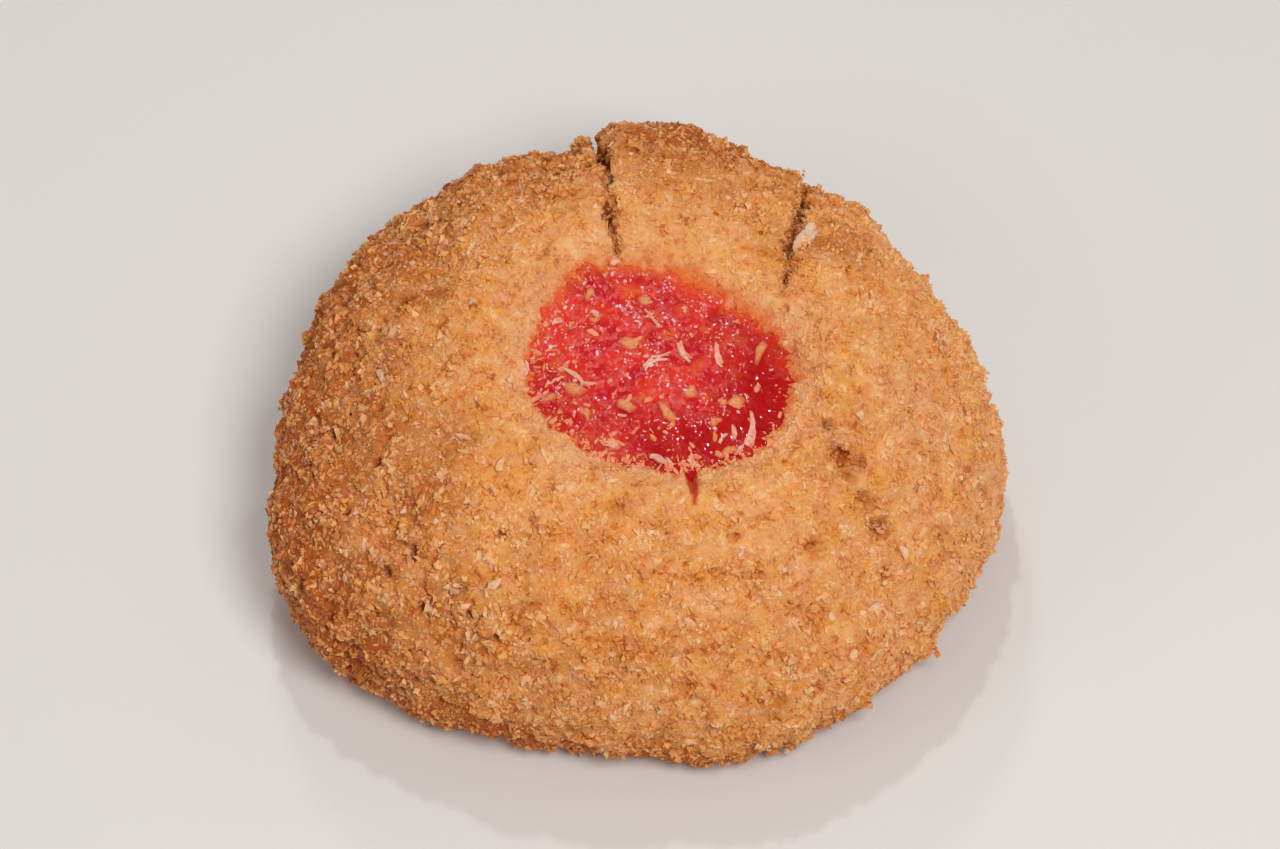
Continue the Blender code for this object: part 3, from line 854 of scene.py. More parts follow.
def bits_object(name, bits, faces, places, turns, lift, shift, draw, paler=0.0):
    """One mesh of all the bits of a kind, with a tone for each bit, and a small cell of the bake's map for each."""
    count, size = bits.shape[:2]
    placed = np.einsum("nij,nvj->nvi", turns, bits) + places[:, None] + turns[:, None, :, 2] * lift[:, None, None]
    placed[:, :, 2] = np.maximum(placed[:, :, 2], 0.0)
    all_faces = (faces[None] + (np.arange(count) * size)[:, None, None]).reshape(-1, 3)
    mesh = mesh_of(name, placed.reshape(-1, 3), all_faces)
    keep_value(mesh, "tone", np.repeat(draw.random(count), size))
    keep_value(mesh, "hue", np.repeat(draw.random(count), size))
    keep_value(mesh, "stain", np.repeat(stain_of(places, shift), size))
    browned_and_shade = browned_and_shade_of(places, shift)
    browned_and_shade = browned_and_shade * draw.uniform(0.0, 1.35, count) - paler
    # Bits in the cracks and pits are browned further: painted shade
    browned_and_shade = np.minimum(browned_and_shade + 0.9 * openness(places, shift, 0.3 * MM, NICK + 1), 1.0)
    keep_value(mesh, "browned_and_shade", np.repeat(browned_and_shade, size))
    side = math.ceil(math.sqrt(count))
    cell = np.stack([np.arange(count) % side, np.arange(count) // side], 1)[:, None, None]
    corner = np.array([(0.15, 0.15), (0.85, 0.15), (0.5, 0.85)])
    uv = (cell + np.broadcast_to(corner, (count, len(faces), 3, 2))) / side
    layer = mesh.uv_layers.new(name="OFBake")
    layer.uv.foreach_set("vector", uv.astype(np.float32).ravel())
    mesh.shade_flat()
    return new_object(name, mesh)


def crust_weight(shift, hollow, thin=0.5, near=0.5 * MM, far=5.0 * MM):
    """Bits lie all over the crust, thinner in the pressed thumbprint, and few in its openings or under the jam."""

    def weights(places, normals):
        distance, direction = jam_distance(places, shift)
        inner = smooth_steps(-1.0 * MM, 0.1 * MM, distance)
        bare = mix(min(2.0 * thin, 1.0), 1.1 * thin, pressed(direction))
        crumbly = mix(bare, 1.0, smooth_steps(near, far, distance))
        floor = smooth_steps(0.5 * MM, 1.5 * MM, places[:, 2])
        holes = np.array([pore_at(Vector(place)) for place in places])
        clear = 1.0 - 0.95 * np.maximum(openness(places, shift, 0.2 * MM), holes)
        clear *= 1.0 - 0.95 * smooth_steps(0.05, 0.4, hollow) * openness(places, shift, 2.0 * MM, NICK + 1)
        clear *= 1.0 - nick_of(places, shift, 0.1 * MM)
        return inner * crumbly * floor * clear

    return weights


def make_bits(name, ground, template, count, shape, shift, seed, tilt, heap=1):
    """Bits of one kind all over the crust, singly or in heaps. shape is (length, width, thickness), each a lowest
    and highest size."""
    draw = np.random.default_rng(seed)
    places, normals = (np.repeat(found, heap, axis=0) for found in ground.spots(count // heap, draw))
    count = len(places)
    if heap > 1:
        reach = np.repeat(draw.uniform(0.3, 0.8, count // heap), heap)[:, None] * MM
        aside = np.cross(normals, draw.normal(0.0, 1.0, places.shape))
        places = places + unit(aside) * reach * draw.random((count, 1)) ** 0.5
        places = places + normals * draw.uniform(-0.1, 0.3, (count, 1)) * MM
    uneven = np.clip(np.exp(draw.normal(-0.1, 0.32, count)), 0.5, 1.6)
    sizes = [draw.uniform(low, high, count) * uneven * MM for low, high in shape]
    points, faces = template
    bits = rough_bits(points, *sizes, draw)
    turns = turned_on(normals, draw, tilt)
    lift = draw.uniform(-0.45, 0.05, count) * sizes[2]
    return bits_object(name, bits, faces, places, turns, lift, shift, draw, 0.2 if heap > 1 else 0.0)


def make_shreds(name, ground, count, lengths, widths, thickness, shift, seed, tilt, tree=None):
    """Shreds strewn on a surface. With a tree to find them on, those that the picture shows come first."""
    draw = np.random.default_rng(seed)
    places, normals = ground.spots(count, draw)
    points, faces = strip_template()
    sizes = (draw.uniform(*lengths, count), draw.uniform(*widths, count), np.full(count, thickness))
    bits = strips(points, *sizes, draw)
    turns = turned_on(normals, draw, tilt)
    if tree:
        seen = seen_strips(tree, SEEN_SHREDS, draw)
        places, turns, bits = (np.concatenate(pair) for pair in zip(seen, (places, turns, bits)))
        lift = np.full(len(bits), 0.10 * MM)
    else:
        lift = draw.uniform(-0.08 * MM, 0.08 * MM, count)
    return bits_object(name, bits, faces, places, turns, lift, shift, draw)


# ---------------------------------------------------------------- jam


JAM_REACH = 0.6 * MM  # how far the jam runs on into the dough beyond its seen edge
JAM_FILM = 0.07 * MM  # how far the jam stands above the dough at that edge
JAM_SKIRT_AT = 0.46  # where its face ends and its skirt starts, as a share of the way from its top to its bottom
JAM_UNDER = 0.45 * MM  # how far its underside lies in the dough
JAM_SMOOTH = (325, 42)  # where the jam's face is smooth: its direction and spread


def jam_level():
    return CREST_HEIGHT - PRINT_DEPTH * (1.0 - smooth_step(FLOOR_RADIUS, CREST_RADIUS, JAM_RADIUS))


def jam_lumps(place, out, direction):
    """Height of the jam's own lumps, from broad swells to seed-sized beads."""
    calm = math.exp(-((degrees_between(direction, JAM_SMOOTH[0]) / JAM_SMOOTH[1]) ** 2))
    calm *= smooth_step(0.25, 0.6, out)
    rough = 1.0 - 0.75 * calm
    broad = 0.26 * noise.noise(place / (2.2 * MM) + Vector((3, 3, 1)))
    ragged = 0.16 * noise.noise(place / (0.9 * MM) + Vector((7, 3, 4))) * smooth_step(0.7, 0.92, out)
    bead = 0.5 - noise.voronoi(place / (0.9 * MM))[0][0]
    fine = 0.5 - noise.voronoi(place / (0.45 * MM) + Vector((1, 8, 2)))[0][0]
    return (broad + ragged + rough * (0.20 * bead + 0.13 * fine)) * MM


JAM_DEEP_AND_SHADE = ((345, 45, 1.0), (275, 40, 0.8), (205, 25, 0.3))  # where the jam is deepest and darkest, towards its edge: deeper jam, and painted shade on its front half


def deep_and_shade_of(points, distance, direction):
    """How deep and dark the jam looks, 0 to 1: deeper jam, and painted shade on its front half."""
    side = bells(direction, JAM_DEEP_AND_SHADE)
    ragged = 0.3 * noises(points, 2.0 * MM, 8.0)
    return np.clip(side * smooth_steps(-6.5 * MM, -3.0 * MM, distance) + ragged, 0.0, 1.0)


def make_jam(shift):
    """The jam: a lumpy crown down to its seen edge, a skirt that dives into the dough, and a face on the print."""
    ball = ball_directions(JAM_CELLS)
    for vert in ball.verts:
        tilt = math.acos(max(-1.0, min(1.0, vert.co.z))) / math.pi
        direction = math.degrees(math.atan2(vert.co.y, vert.co.x)) % 360.0
        ragged = float(edge_change(direction, smooth_step(0.3, JAM_SKIRT_AT, tilt)))
        edge = CREST_AT * (JAM_RADIUS + ragged / print_scale(direction)) / CREST_RADIUS
        rim = crust_point(direction, edge) + Vector((0, 0, JAM_FILM))
        away = Vector((rim.x - PRINT_CENTRE.x, rim.y - PRINT_CENTRE.y, 0.0)).normalized()
        if tilt > JAM_SKIRT_AT:
            out = min((1.0 - tilt) / (1.0 - 0.5), 1.0)
            under = crust_point(direction, edge * out) - Vector((0, 0, JAM_UNDER))
            vert.co = under + away * JAM_REACH * out
            continue
        out = tilt / JAM_SKIRT_AT
        flat = Vector((mix(PRINT_CENTRE.x, rim.x, out), mix(PRINT_CENTRE.y, rim.y, out), 0.0))
        height = mix(jam_level(), rim.z, out**2) + JAM_CROWN * (1.0 - out**2)
        height += jam_lumps(flat, out, direction)
        vert.co = Vector((flat.x, flat.y, height))
    bmesh.ops.translate(ball, verts=ball.verts[:], vec=shift)
    jam = object_from(ball, "jam_fill")
    points = points_of(jam.data)
    distance, direction = jam_distance(points, shift)
    # Deeper jam, and painted shade on its front half
    keep_value(jam.data, "deep_and_shade", deep_and_shade_of(points, distance, direction))
    keep_value(jam.data, "thin", smooth_steps(-1.4 * MM, 0.0, distance) * mix(0.25, 1.0, pressed(direction)))
    jam.data.shade_smooth()
    return jam


# Shreds seen on the jam: the two ends, to the right and up in the plane of the picture, then width and bend, in mm
SEEN_SHREDS = (
    ((0.12, 3.31), (2.28, 4.41), 0.48, 0.35),
    ((2.72, 5.29), (3.60, 3.97), 0.46, 0.05),
    ((5.73, 5.22), (6.17, 3.53), 0.42, -0.15),
    ((8.31, -0.22), (7.20, -3.09), 0.62, 0.55),
    ((6.90, -0.90), (7.05, -2.00), 0.36, 0.05),
    ((-0.15, 6.76), (1.18, 7.64), 0.28, 0.10),
    ((0.44, 7.94), (1.47, 6.60), 0.30, -0.08),
    ((-5.90, 3.38), (-3.97, 2.06), 0.36, 0.30),
    ((-8.60, 3.95), (-8.75, 2.65), 0.36, 0.10),
    ((0.90, -3.10), (2.06, -3.68), 0.48, 0.05),
    ((3.50, -3.20), (4.40, -4.00), 0.34, 0.00),
    ((3.80, -2.80), (3.90, -4.10), 0.30, 0.05),
    ((-2.60, -2.05), (-1.30, -2.45), 0.50, 0.10),
)

# Chips seen on it: the middle, then length and width in mm, and the turn in degrees
SEEN_CHIPS = (
    ((3.82, 1.76), 1.35, 1.00, 20),
    ((7.20, 0.96), 1.55, 1.15, 10),
    ((6.20, 1.00), 0.80, 0.70, 60),
    ((2.06, 0.25), 1.90, 1.05, 120),
    ((2.40, -0.66), 0.70, 0.50, 80),
    ((-0.88, 0.81), 1.70, 1.45, 30),
    ((-5.00, 2.06), 1.80, 1.25, 160),
    ((-4.00, 0.15), 1.35, 0.60, 110),
    ((-1.90, -2.35), 1.20, 0.75, 15),
    ((-0.60, 5.30), 2.00, 1.50, 170),
    ((0.44, 8.67), 1.30, 0.95, 95),
    ((-3.80, 9.30), 1.30, 1.00, 80),
    ((5.60, -0.44), 1.15, 0.75, 10),
    ((5.60, -1.60), 0.90, 0.50, 80),
    ((-6.80, 1.30), 1.40, 0.85, 20),
    ((-3.40, 7.20), 0.70, 0.60, 0),
    ((9.05, 4.85), 1.90, 0.85, 65),
    ((6.70, -2.60), 1.10, 0.70, 30),
    ((5.90, -2.90), 0.80, 0.60, 150),
)

# Pale flakes seen on the crust, given as the chips are
SEEN_FLAKES = (
    ((-19.40, 2.94), 1.20, 0.60, 100),
    ((-17.64, -0.44), 0.55, 0.40, 30),
    ((-12.64, 8.38), 0.60, 0.40, 10),
    ((-17.50, 1.47), 0.90, 0.30, 120),
    ((-13.10, -1.60), 1.30, 0.50, 160),
    ((-10.40, -3.70), 1.10, 0.65, 70),
    ((-15.10, -7.90), 0.50, 0.40, 0),
    ((-17.60, -7.20), 0.50, 0.40, 45),
    ((-10.10, -9.30), 0.60, 0.45, 20),
    ((-7.50, -7.35), 0.60, 0.50, 80),
    ((-10.70, -12.50), 1.10, 0.70, 40),
    ((11.60, -19.30), 1.60, 0.50, 30),
    ((15.90, -17.90), 0.80, 0.70, 90),
    ((19.70, -10.30), 1.00, 0.60, 110),
    ((17.50, -14.30), 1.20, 0.45, 30),
    ((21.20, -5.60), 0.70, 0.50, 60),
    ((15.40, -19.60), 0.50, 0.40, 0),
    ((21.00, -15.60), 0.50, 0.40, 10),
    ((16.50, 0.00), 0.90, 0.55, 140),
    ((12.60, 13.50), 2.10, 1.05, 40),
    ((12.10, 12.70), 1.80, 0.90, 100),
    ((11.40, 12.30), 1.30, 0.80, 150),
    ((13.00, 14.20), 1.30, 0.75, 20),
    ((-2.00, 11.60), 1.30, 0.80, 120),
    ((-1.30, 10.60), 1.00, 0.60, 125),
)

PLATE_THICKNESS = 0.2  # in mm
PICTURE_TURN = math.radians(55.0)  # how far the picture looks down
PICTURE_MIDDLE = Vector((0, -0.24 * MM, 10.33 * MM))


def seen_spot(tree, right, up):
    """The place on a surface that the picture shows at this spot of its plane, and its normal."""
    look = Vector((0.0, math.cos(PICTURE_TURN), -math.sin(PICTURE_TURN)))
    rise = Vector((0.0, math.sin(PICTURE_TURN), math.cos(PICTURE_TURN)))
    start = PICTURE_MIDDLE + Vector((right * MM, 0, 0)) + rise * up * MM - look * 0.1
    place, normal, _, _ = tree.ray_cast(start, look)
    return place, normal


def turn_along(along, normal):
    """The turn that lays a bit's length along one way and its face up on the surface."""
    along = along.normalized()
    up = (normal - along * normal.dot(along)).normalized()
    return np.array([along[:], up.cross(along)[:], up[:]]).T


def seen_strips(tree, shreds, draw):
    """Places, turns and shapes of shreds that lie where the picture shows them, each split into a few fibres."""
    template, _ = strip_template()
    share = template[:, 0]
    places, turns, bits = [], [], []
    for near, far, width, bend in shreds:
        start, normal = seen_spot(tree, *near)
        end, other = seen_spot(tree, *far)
        fibres = 3 if width > 0.3 else 2
        for fibre in range(fibres):
            aside = (fibre / (fibres - 1) - 0.5) * width * 0.62
            length = (end - start).length * draw.uniform(0.72, 1.05)
            wide = width * draw.uniform(0.42, 0.62)
            shape = strips(template, np.array([length]), np.array([wide * MM]), np.array([0.10 * MM]), draw)[0]
            shape[:, 0] += draw.uniform(-0.12, 0.12) * length
            shape[:, 1] += (bend * (1.0 - share**2) + aside * draw.uniform(0.7, 1.2)) * MM
            shape[:, 2] += draw.uniform(-0.04, 0.06) * MM
            places.append(((start + end) / 2)[:])
            turns.append(turn_along(end - start, normal + other))
            bits.append(shape)
    return np.array(places), np.array(turns), np.array(bits)


def seen_plates(tree, chips, template, sides, thickness, draw):
    """Places, turns and shapes of chips that lie where the picture shows them."""
    places, turns, bits = [], [], []
    for (right, up), length, width, turn in chips:
        place, normal = seen_spot(tree, right, up)
        angle = math.radians(turn)
        ahead, _ = seen_spot(tree, right + 0.2 * math.cos(angle), up + 0.2 * math.sin(angle))
        along = ahead - place
        along -= normal * along.dot(normal)
        sizes = [np.array([size * MM]) for size in (length * 1.1, width * 1.1, thickness)]
        places.append(place[:])
        turns.append(turn_along(along, normal))
        bits.append(rough_bits(template, *sizes, draw, sides)[0])
    return np.array(places), np.array(turns), np.array(bits)


def jam_weight(shift):
    """Bits on the jam: mostly in its front half and along its left, and few on the bare right and back."""

    def weights(places, normals):
        distance, direction = jam_distance(places, shift)
        inside = smooth_steps(0.5 * MM, -0.2 * MM, distance) * (normals[:, 2] > 0.4)
        front, left, right = bell(direction, 265, 60), bell(direction, 165, 50), bell(direction, 345, 45)
        rim = smooth_steps(-1.3 * MM, -0.2 * MM, distance)
        wide = smooth_steps(-7.0 * MM, -2.5 * MM, distance)
        spread = 0.04 + (0.2 + 3.0 * front) * rim + wide * (0.3 * front + 0.5 * left)
        return inside * spread * (1.0 - 0.75 * right)

    return weights


def make_plates(name, tree, seen, sides, lift, shift, seed, rim=False):
    """Chips or flakes that lie where the picture shows them, with how far out each of their points is for a rim."""
    draw = np.random.default_rng(seed)
    points, faces = plate_template(sides, DOMED_RINGS)
    places, turns, bits = seen_plates(tree, seen, points, sides, PLATE_THICKNESS, draw)
    made = bits_object(name, bits, faces, places, turns, np.full(len(bits), lift), shift, draw)
    if rim:
        keep_value(made.data, "rim", np.tile(np.hypot(points[:, 0], points[:, 1]), len(bits)))
    return made


def glint_weight(shift):
    """Grains painted as glints on the jam: thick in its back half and on its left, none on its smooth dark right and
    front.
    """

    def weights(places, normals):
        distance, direction = jam_distance(places, shift)
        inside = smooth_steps(-0.2 * MM, -0.8 * MM, distance) * (normals[:, 2] > 0.4)
        back, left = bell(direction, 95, 60), bell(direction, 175, 40)
        middle = smooth_steps(-5.0 * MM, -8.0 * MM, distance)
        thick = smooth_steps(-0.25, 0.35, noises(places, 1.6 * MM, 2.0))
        return inside * (0.05 + thick * np.maximum(np.maximum(back, 0.6 * left), 0.8 * middle))

    return weights


def make_grains(name, ground, count, spread, limits, longest, thickness, lifts, shift, seed):
    """Crumbs, or grains that stand for glints, on the jam. Their width in mm is spread round a middle one, and the
    length and thickness are shares of it."""
    draw = np.random.default_rng(seed)
    places, normals = ground.spots(count, draw)
    sizes = np.clip(np.exp(draw.normal(*spread, count)), *limits) * MM
    points, faces = icosahedron()
    bits = rough_bits(points, sizes * draw.uniform(1.0, longest, count), sizes, sizes * thickness, draw)
    turns = turned_on(normals, draw, 0.4)
    lift = draw.uniform(*lifts, count) * sizes if lifts else np.zeros(count)
    return bits_object(name, bits, faces, places, turns, lift, shift, draw)


# ---------------------------------------------------------------- materials


class Nodes:
    """Short words for building one material's nodes."""

    def __init__(self, name):
        self.material = bpy.data.materials.new(name)
        self.material.use_nodes = True
        self.tree = self.material.node_tree
        self.shader = self.tree.nodes["Principled BSDF"]

    def add(self, kind, inputs=(), **settings):
        node = self.tree.nodes.new(kind)
        for key, value in settings.items():
            setattr(node, key, value)
        for key, value in dict(inputs).items():
            self.join(value, node.inputs[key])
        return node

    def join(self, value, socket):
        if isinstance(value, bpy.types.NodeSocket):
            self.tree.links.new(value, socket)
        elif isinstance(value, tuple) and len(value) == 3 and socket.type == "RGBA":
            socket.default_value = (*value, 1.0)
        else:
            socket.default_value = value

    def value(self, name):
        return self.add("ShaderNodeAttribute", attribute_name=name).outputs["Fac"]

    def places(self):
        return self.add("ShaderNodeTexCoord").outputs["Object"]

    def noises(self, size, detail=2.0, roughness=0.5):
        inputs = {"Vector": self.places(), "Scale": 1.0 / size, "Detail": detail, "Roughness": roughness}
        return self.add("ShaderNodeTexNoise", inputs).outputs

    def noise(self, *settings):
        return self.noises(*settings)["Fac"]

    def cells(self, size, output="Color"):
        inputs = {"Vector": self.places(), "Scale": 1.0 / size}
        return self.add("ShaderNodeTexVoronoi", inputs).outputs[output]

    def channels(self, colour):
        return self.add("ShaderNodeSeparateColor", {"Color": colour}).outputs

    def blend(self, share, first, second):
        node = self.add("ShaderNodeMix", data_type="RGBA")
        self.join(share, node.inputs["Factor"])
        colours = [socket for socket in node.inputs if socket.type == "RGBA"]
        self.join(first, colours[0])
        self.join(second, colours[1])
        return [socket for socket in node.outputs if socket.type == "RGBA"][0]

    def spread(self, value, low, high, to_low=0.0, to_high=1.0):
        inputs = {"Value": value, "From Min": low, "From Max": high, "To Min": to_low, "To Max": to_high}
        return self.add("ShaderNodeMapRange", inputs).outputs["Result"]

    def tint(self, colour, name, other, share, low=0.0, high=1.0):
        """The colour turned towards another, as far as a value that the mesh keeps says."""
        return self.blend(self.spread(self.value(name), low, high, 0.0, share), colour, other)

    def ramp(self, value, stops):
        node = self.add("ShaderNodeValToRGB", {"Fac": value})
        while len(node.color_ramp.elements) < len(stops):
            node.color_ramp.elements.new(0.5)
        for element, (at, colour) in zip(node.color_ramp.elements, stops):
            element.position = at
            element.color = (*colour, 1.0)
        return node.outputs["Color"]

    def sum(self, operation, first, second):
        node = self.add("ShaderNodeMath", operation=operation)
        self.join(first, node.inputs[0])
        self.join(second, node.inputs[1])
        return node.outputs[0]

    def bump(self, heights, distance, strength=1.0, normal=None, invert=False):
        inputs = {"Height": heights, "Distance": distance, "Strength": strength}
        if normal is not None:
            inputs["Normal"] = normal
        return self.add("ShaderNodeBump", inputs, invert=invert).outputs["Normal"]

    def finish(self, **inputs):
        for key, value in inputs.items():
            self.join(value, self.shader.inputs[key.replace("_", " ")])
        return self.material


# Colours of the crumb, from the painted shade in its pits and crevices to the coconut in it
PIT_SHADE = (0.50, 0.105, 0.014)
BROWN = (0.43, 0.094, 0.013)
CREVICE_SHADE = (0.45, 0.078, 0.009)
ORANGE = (0.76, 0.250, 0.042)
GOLDEN = (0.84, 0.385, 0.115)
YELLOW = (0.90, 0.450, 0.095)
PINK = (0.85, 0.380, 0.180)
CREAM = (0.90, 0.56, 0.28)
PALE = (0.88, 0.49, 0.27)
CHIP = (0.66, 0.25, 0.055)
BLUSH = (0.86, 0.47, 0.28)
COCONUT = (0.82, 0.64, 0.54)
STAINED = (0.80, 0.14, 0.020)
# Colour of the painted shade in hollows where jam has soaked in
SOAKED_SHADE = (0.58, 0.030, 0.012)
CRUMB_TONES = ((0.0, BROWN), (0.2, ORANGE), (0.5, GOLDEN), (0.7, GOLDEN), (1.0, CREAM))
GLOW = (1.0, 0.40, 0.14)  # how far red, green and blue light travel in the crumb, against one another


def crumb_colour(make, own_tone, own_hue):
    """A crumb's colour from its own tone and hue and from the patch it lies in, browned and stained by place, the
    browning with painted shade and light in it.
    """
    patch = make.noises(1.5 * MM, 3.0, 0.6)
    shift = make.spread(patch["Fac"], 0.3, 0.7, -0.42, 0.42)
    colour = make.ramp(make.sum("ADD", own_tone, shift), CRUMB_TONES)
    hue = make.spread(make.channels(patch["Color"])[1], 0.3, 0.7, -0.2, 1.2)
    hue = make.sum("ADD", make.sum("MULTIPLY", hue, 0.8), make.sum("MULTIPLY", own_hue, 0.2))
    colour = make.blend(make.spread(hue, 0.45, 0.1, 0.0, 0.5), colour, PINK)
    colour = make.blend(make.spread(hue, 0.55, 0.9, 0.0, 0.45), colour, YELLOW)
    # Browner with the crust's browning and its painted shade, paler in the thumbprint, with painted light on its
    # front wall
    colour = make.tint(colour, "browned_and_shade", BROWN, 0.8)
    colour = make.tint(colour, "browned_and_shade", PALE, 0.6, 0.0, -1.0)
    return make.tint(colour, "stain", STAINED, 0.8)


def dough_material():
    """Sandy baked crumb: grains of their own tone, browner where it baked harder, with painted shade between the
    crumbs, in the pits and splits and along the bottom edge, red by the jam.
    """
    make = Nodes("crust")
    cells = make.channels(make.cells(0.34 * MM))
    tone = make.spread(cells[0], 0.0, 1.0, 0.22, 0.68)
    colour = crumb_colour(make, tone, cells[1])
    # Painted shade: the ground between the crumbs darker and redder on the browned flanks
    colour = make.tint(colour, "browned_and_shade", CREVICE_SHADE, 0.6, 0.3, 0.9)
    # Painted shade in the splits, pits and nick, dark red where jam has soaked in
    deep_and_shade = make.tint(PIT_SHADE, "stain", SOAKED_SHADE, 1.0, 0.3, 0.9)
    colour = make.tint(colour, "hollow", deep_and_shade, 0.95)
    normal = make.bump(make.cells(0.34 * MM, "Distance"), 0.12 * MM, 0.6, invert=True)
    normal = make.bump(make.noise(0.22 * MM, 3.0, 0.6), 0.09 * MM, 0.8, normal)
    return make.finish(
        Base_Color=colour,
        Roughness=make.spread(tone, 0.15, 0.6, 0.95, 0.7),
        Normal=normal,
        Specular_IOR_Level=0.3,
        Subsurface_Weight=0.25,
        Subsurface_Radius=GLOW,
        Subsurface_Scale=0.6 * MM,
    )


def crumb_material(name, low, high):
    """Crumbs: each has its own tone between low and high, with a fine grain of its own."""
    make = Nodes(name)
    tone = make.spread(make.value("tone"), 0.0, 1.0, low, high)
    colour = crumb_colour(make, tone, make.value("hue"))
    normal = make.bump(make.noise(0.12 * MM, 2.0), 0.04 * MM, 0.6)
    return make.finish(
        Base_Color=colour,
        Roughness=make.spread(make.value("hue"), 0.0, 1.0, 0.9, 0.5),
        Normal=normal,
        Specular_IOR_Level=0.3,
    )


def shred_material(name, first, second, mottle, third, browned_and_shade_share=0.0, soaked_share=0.2, grain=0.5 * MM, rim=0.0):
    """Coconut: a waxy strip or chip whose colour lies between two and is mottled with a third. The jam shows
    through a chip's thin rim."""
    make = Nodes(name)
    colour = make.blend(make.value("hue"), first, second)
    spots = make.spread(make.noise(grain, 2.0), 0.38, 0.62, 0.0, mottle)
    colour = make.blend(spots, colour, third)
    if rim:
        colour = make.tint(colour, "rim", RED, rim, 0.45)
    # Browned as the crust is, painted shade included
    if browned_and_shade_share:
        colour = make.tint(colour, "browned_and_shade", BROWN, browned_and_shade_share)
    colour = make.tint(colour, "stain", STAINED, soaked_share)
    normal = make.bump(make.noise(0.15 * MM, 2.0), 0.03 * MM, 0.6)
    return make.finish(
        Base_Color=colour,
        Roughness=make.spread(make.value("tone"), 0.0, 1.0, 0.35, 0.6),
        Normal=normal,
    )


def painted_glint_material():
    """Pale, pinkish, shiny grains on the jam that stand for glints: painted highlights."""
    make = Nodes("painted_glints")
    colour = make.blend(make.value("hue"), GLINT_PINK, PULP)
    return make.finish(Base_Color=colour, Roughness=make.spread(make.value("tone"), 0.0, 1.0, 0.1, 0.3))


# Pale pink of the grains that stand for glints on the jam: painted highlights
GLINT_PINK = (0.92, 0.66, 0.74)
CRIMSON = (0.46, 0.007, 0.009)
RED = (0.62, 0.012, 0.020)
PULP = (0.86, 0.13, 0.11)
SCARLET = (0.84, 0.042, 0.022)
VERMILION = (0.88, 0.15, 0.030)


def jam_material():
    """Wet jam: granular pulp in red, scarlet and orange, smooth crimson where it is deep and where shade is painted
    on its front half, and beads that glint.
    """
    make = Nodes("jam")
    clouds = make.spread(make.noise(3.0 * MM, 2.0), 0.42, 0.60)
    colour = make.blend(clouds, RED, SCARLET)
    grains = make.channels(make.cells(0.36 * MM))
    pulp = make.spread(grains[0], 0.45, 0.95, 0.0, 0.8)
    colour = make.blend(pulp, colour, PULP)
    patches = make.spread(make.noise(1.7 * MM, 2.0), 0.58, 0.72, 0.0, 0.75)
    colour = make.blend(patches, colour, VERMILION)
    colour = make.tint(colour, "thin", VERMILION, 0.7)
    # Crimson where the jam is deep, and painted shade on its front half
    colour = make.tint(colour, "deep_and_shade", CRIMSON, 0.92)
    calm = make.spread(make.value("deep_and_shade"), 0.2, 0.9, 1.0, 0.3)
    beads = make.sum("MULTIPLY", make.cells(0.36 * MM, "Distance"), calm)
    normal = make.bump(beads, 0.16 * MM, 1.0, invert=True)
    return make.finish(
        Base_Color=colour,
        Roughness=make.spread(grains[1], 0.0, 1.0, 0.05, 0.16),
        Normal=normal,
        Specular_IOR_Level=0.8,
        Subsurface_Weight=0.2,
        Subsurface_Radius=(1.0, 0.12, 0.07),
        Subsurface_Scale=0.6 * MM,
    )


# ---------------------------------------------------------------- stage


# Lights: name, place, size, watts, colour, and whether the part mirrors it
LIGHTS = (
    ("key", (0.105, -0.195, 0.36), 0.17, 0.97, (1.0, 0.985, 0.985), False),
    ("spark", (-0.03, 0.15, 0.39), 0.02, 0.20, (1.0, 1.0, 1.0), True),
    ("back", (-0.05, 0.27, 0.28), 0.05, 0.13, (1.0, 0.98, 1.0), True),
    ("fill", (-0.30, -0.18, 0.22), 0.30, 0.17, (1.0, 1.0, 1.0), True),
)
LIGHTS_AIM = Vector((0, 0, 0.01))
SKY = {"Color": (1.0, 0.955, 0.91, 1.0), "Strength": 0.29}
FLOOR_COLOUR = (0.78, 0.77, 0.75)
FLOOR_HALF = 2.0  # half its side
FLOOR_DROP = 0.00005  # how far it lies under the base


def add_light(name, place, size, watts, colour, mirrored):
    data = bpy.data.lights.new(name, "AREA")
    data.shape = "DISK"
    data.size = size
    data.energy = watts
    data.color = colour
    light = new_object(name, data)
    light.location = place
    light.visible_glossy = mirrored
    light.rotation_euler = (Vector(place) - LIGHTS_AIM).to_track_quat("Z", "Y").to_euler()


CAMERA_ELEVATION = 55.0
CAMERA_LENS = 200.0
CAMERA_DISTANCE = 0.545
CAMERA_AIM = Vector((0.0, -0.0005, 0.0095))


def add_camera():
    data = bpy.data.cameras.new("camera")
    data.lens = CAMERA_LENS
    data.clip_start = 0.01
    camera = new_object("camera", data)
    angle = math.radians(CAMERA_ELEVATION)
    away = Vector((0.0, -math.cos(angle), math.sin(angle)))
    camera.location = CAMERA_AIM + away * CAMERA_DISTANCE
    camera.rotation_euler = away.to_track_quat("Z", "Y").to_euler()
    bpy.context.scene.camera = camera


def add_stage():
    floor = bmesh.new()
    bmesh.ops.create_grid(floor, x_segments=1, y_segments=1, size=FLOOR_HALF)
    mesh = bpy.data.meshes.new("floor")
    floor.to_mesh(mesh)
    floor.free()
    plane = new_object("floor", mesh)
    plane.location.z = -FLOOR_DROP
    mesh.materials.append(Nodes("floor").finish(Base_Color=FLOOR_COLOUR, Roughness=0.6))
    for light in LIGHTS:
        add_light(*light)
    scene = bpy.context.scene
    world = scene.world = bpy.data.worlds.new("studio")
    world.use_nodes = True
    for name, value in SKY.items():
        world.node_tree.nodes["Background"].inputs[name].default_value = value
    # The sky and the key light the part but aren't mirrored in it, as in a dark studio
    world.cycles_visibility.glossy = False
    scene.view_settings.view_transform = "Standard"
    scene.view_settings.look = "None"


# ---------------------------------------------------------------- the part


CRUST, JAM = ("biscuit", "crust"), ("jam", "jam")  # each node with its material slot
BLUNT, PLATE = blunt_bit(), plate_template(6)
